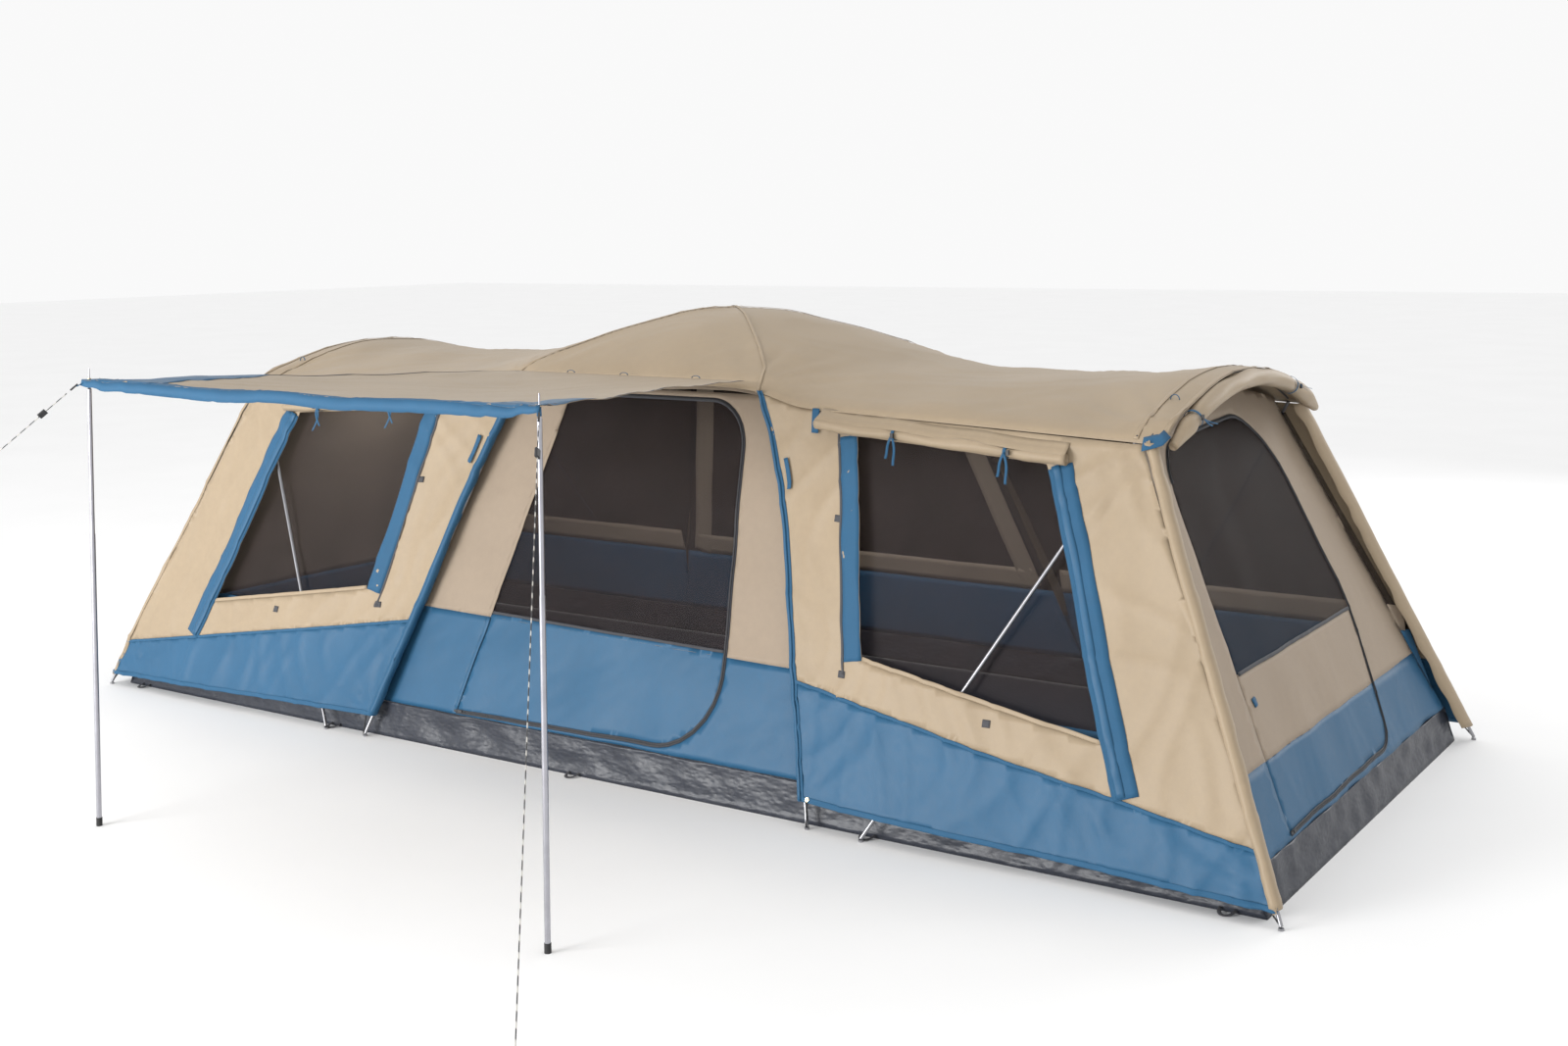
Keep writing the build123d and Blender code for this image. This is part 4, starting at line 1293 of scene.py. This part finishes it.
# ---------------------------------------------------------------- awning
def make_awning():
    depth = HINGE_Y - AWNING_OUT_Y
    us, ws = np.linspace(-AWNING_OUT_X, AWNING_OUT_X, 111), np.linspace(0, depth, 81)
    sheet = even_sheet("awning_sheet", AWNING, us, ws, "tan", "awning")
    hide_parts("awning_panel")
    edge = AWNING_OUT_X - 0.012
    border = [[(u, depth - 0.060) for u in np.linspace(-AWNING_OUT_X, AWNING_OUT_X, 60)]]
    ribbons("awning_border", border, 0.120, AWNING, "blue_tape", "awning", lift=0.0012)
    # The dark strips along each side edge are painted shade: they stand in for the shaded underside of the
    # awning's side edges, not for real hems
    sides = [[(s * edge, w) for w in np.linspace(0.02, depth, 40)] for s in (-1, 1)]
    ribbons("awning_side_painted_shade", sides, 0.022, AWNING, "zip", "awning", lift=0.001)
    # Reinforced corners: long triangular patches along each side
    for name, side in SIDES.items():
        reach = 0.52 if side == 1 else 0.80
        ring = [(AWNING_OUT_X - 0.001, depth - 0.001), (AWNING_OUT_X - 0.001, depth - reach),
                (AWNING_OUT_X - 0.12, depth - reach * 0.86), (AWNING_OUT_X - 0.42, depth - 0.001)]
        panel(f"awning_corner_{name}", mirror(ring, side), AWNING, "blue", body="awning", lift=0.0022)
    # The front edge's hem hangs as a short valance
    steps = 100
    us = np.linspace(-AWNING_OUT_X, AWNING_OUT_X, steps)
    top = AWNING.points(np.stack([us, np.full(steps, depth)], axis=1))
    verts, uvs = [], []
    for p, u in zip(top, us):
        hang = 0.048 * (1 - 0.5 * abs(u / AWNING_OUT_X) ** 6)
        for t in (0, 0.5, 1):
            verts.append(p + np.array([0, (0.004 * math.sin(9 * u + 2 * t) - 0.010) * t, -hang * t]))
            uvs.append((u, hang * t))
    faces = turn_outward(np.array(verts), grid_faces(steps, 3), np.array([0.0, -1.0, 0.0]))
    thicken(add_piece("awning_valance", verts, faces, uvs, "blue_tape", "awning"))
    # Small loops along the seam where the awning joins the roof
    loops = [arch((x, HINGE_Y - 0.012, HINGE_Z + 0.003), 0.024, 0.012) for x in (-0.36, -0.02, 0.42)]
    tubes("awning_loops", loops, 0.0035, "blue_tape", "tent", 8, 0.4)
    # Webbing straps from each corner down to the guy hook
    straps = [np.linspace((side * 1.300, -3.036, 1.952), (side * 1.330, -3.068, 1.925), 6)
              for side in SIDES.values()]
    tubes("awning_straps", straps, 0.009, "blue_tape", "awning", 10, 0.25)


make_awning()


# ---------------------------------------------------------------- small fittings
def make_feet_loops():
    """Webbing that ties the fly's hem to each pole foot, and the tub's peg loops."""
    lines = []
    for side in SIDES.values():
        for face in (-1, 1):
            hem = (side * (fly_end_x(0.092) - 0.045), face * fly_y(0.092), 0.088)
            lines.append(np.linspace(hem, (side * 3.425, face * 1.443, 0.012), 7))
        hem = (side * 1.350, -fly_y(0.125), 0.118)
        lines.append(np.linspace(hem, (side * 1.356, -1.440, 0.014), 7))
    tubes("hem_elastics", lines, 0.0035, "rubber")
    loops = []
    for x in (-3.2, -1.63, 0.0, 1.63, 3.2):
        for face in (-1, 1):
            t = np.linspace(-0.2, math.pi + 0.2, 13)
            y = face * (FLOOR_Y + 0.004 + 0.045 * np.sin(t))
            loops.append(np.stack([x + 0.030 * np.cos(t), y, 0.012 - 0.008 * np.sin(t)], axis=1))
    tubes("tub_peg_loops", loops, 0.008, "webbing", "tent", 10, 0.18, "pe_tub")


def make_vents():
    """Toggle loops for the middle room's opening flaps, and the guy point on the roof."""
    line = [(0.955, 1.520), (0.990, 1.410), (0.996, 1.380)]
    ties = [ribbon_part(mirror(line, side), 0.024, FRONT, lift=0.011) for side in SIDES.values()]
    joined("opening_ties", ties, "blue_tape")
    tops = ROOF.points([(-2.70, -0.60), (2.70, -0.60)])
    loops = [arch(top, 0.020, 0.022) for top in tops]
    tubes("roof_guy_loops", loops, 0.0035, "blue_tape", "tent", 8, 0.5)


def make_hub_tabs():
    """Blue webbing at the front hub of the open end, and the inner tent's clips below it."""
    line = [(2.700, -0.925), (2.770, -0.905), (2.786, -0.880)]
    ribbons("hub_tab", [line], 0.050, ROOF, "blue_tape", lift=0.006)
    clips = [[(-0.790, 1.640), (-0.740, 1.640)],
             [(-0.905, 1.180), (-0.860, 1.185)],
             [(-0.800, 0.640), (-0.765, 0.645)]]
    ribbons("inner_clips", clips, 0.034, END_RIGHT, "blue_tape", lift=0.004)


def dress_hardware():
    groups = {
        "steel": ["steel_legs_centre", "steel_legs_left", "steel_legs_right", "pole_feet", "guy_pegs"],
        "alloy": ["pole_upper_left", "pole_upper_right", "pole_lower_left", "pole_lower_right"],
        "fibreglass": ["centre_arch_a", "centre_arch_b", "left_arch_inner", "left_arch_outer",
                       "right_arch_inner", "right_arch_outer"],
        "brass": ["awning_eyelets", "fly_eyelets"],
        "rubber": ["pole_cap_left", "pole_cap_right"],
        "plastic": ["guy_hooks", "guy_runner_left", "guy_runner_right", "front_zip_slider",
                    "end_zip_slider", "toggles"],
    }
    for material, names in groups.items():
        for name in names:
            if not NODES[name].material_slots:
                NODES[name].data.materials.append(MAT[material])
            for slot in NODES[name].material_slots:
                slot.material = MAT[material]


make_feet_loops()
make_vents()
make_hub_tabs()
dress_hardware()


# ---------------------------------------------------------------- stage and light
def make_stage():
    look = Look("studio_floor", "Object")
    mottle = look.noise(0.8, 3.0)
    colour = look.tones(mottle, WHITE, (0.3, 0.93), (0.7, 0.95))
    look.finish(colour, look.spread(mottle, 0.85, 0.95), look.bump(mottle, 0.001, 0.1))
    mesh = bpy.data.meshes.new("studio_floor")
    half = 60.0
    corners = [(-half, -half, 0), (half, -half, 0), (half, half, 0), (-half, half, 0)]
    mesh.from_pydata(corners, [], [(0, 1, 2, 3)])
    floor = bpy.data.objects.new("studio_floor", mesh)
    floor.data.materials.append(look.material)
    bpy.context.scene.collection.objects.link(floor)


def add_light(name, place, target, size, power):
    data = bpy.data.lights.new(name, "AREA")
    data.shape = "RECTANGLE"
    data.size, data.size_y = size
    data.energy = power
    light = bpy.data.objects.new(name, data)
    light.location = place
    light.rotation_euler = (Vector(target) - Vector(place)).to_track_quat("-Z", "Y").to_euler()
    bpy.context.scene.collection.objects.link(light)


def make_light():
    scene = bpy.context.scene
    world = bpy.data.worlds.new("studio")
    world.use_nodes = True
    world.node_tree.nodes["Background"].inputs["Color"].default_value = (1.0, 1.0, 1.0, 1)
    world.node_tree.nodes["Background"].inputs["Strength"].default_value = 0.95
    scene.world = world
    scene.view_settings.view_transform = "Standard"
    for name, x, power in (("left_room", -2.0, 20), ("middle_room", 0.0, 34), ("right_room", 2.0, 30)):
        add_light(name, (x, 0, 1.65), (x, 0, 0), (1.2, 0.8), power)
    add_light("key", (-4.5, -12.5, 2.8), (0.3, 0, 0.8), (6.0, 3.5), 1380)
    add_light("back", (5.0, 9.0, 5.0), (2.0, 0, 1.2), (5.0, 4.0), 220)


make_stage()
make_light()
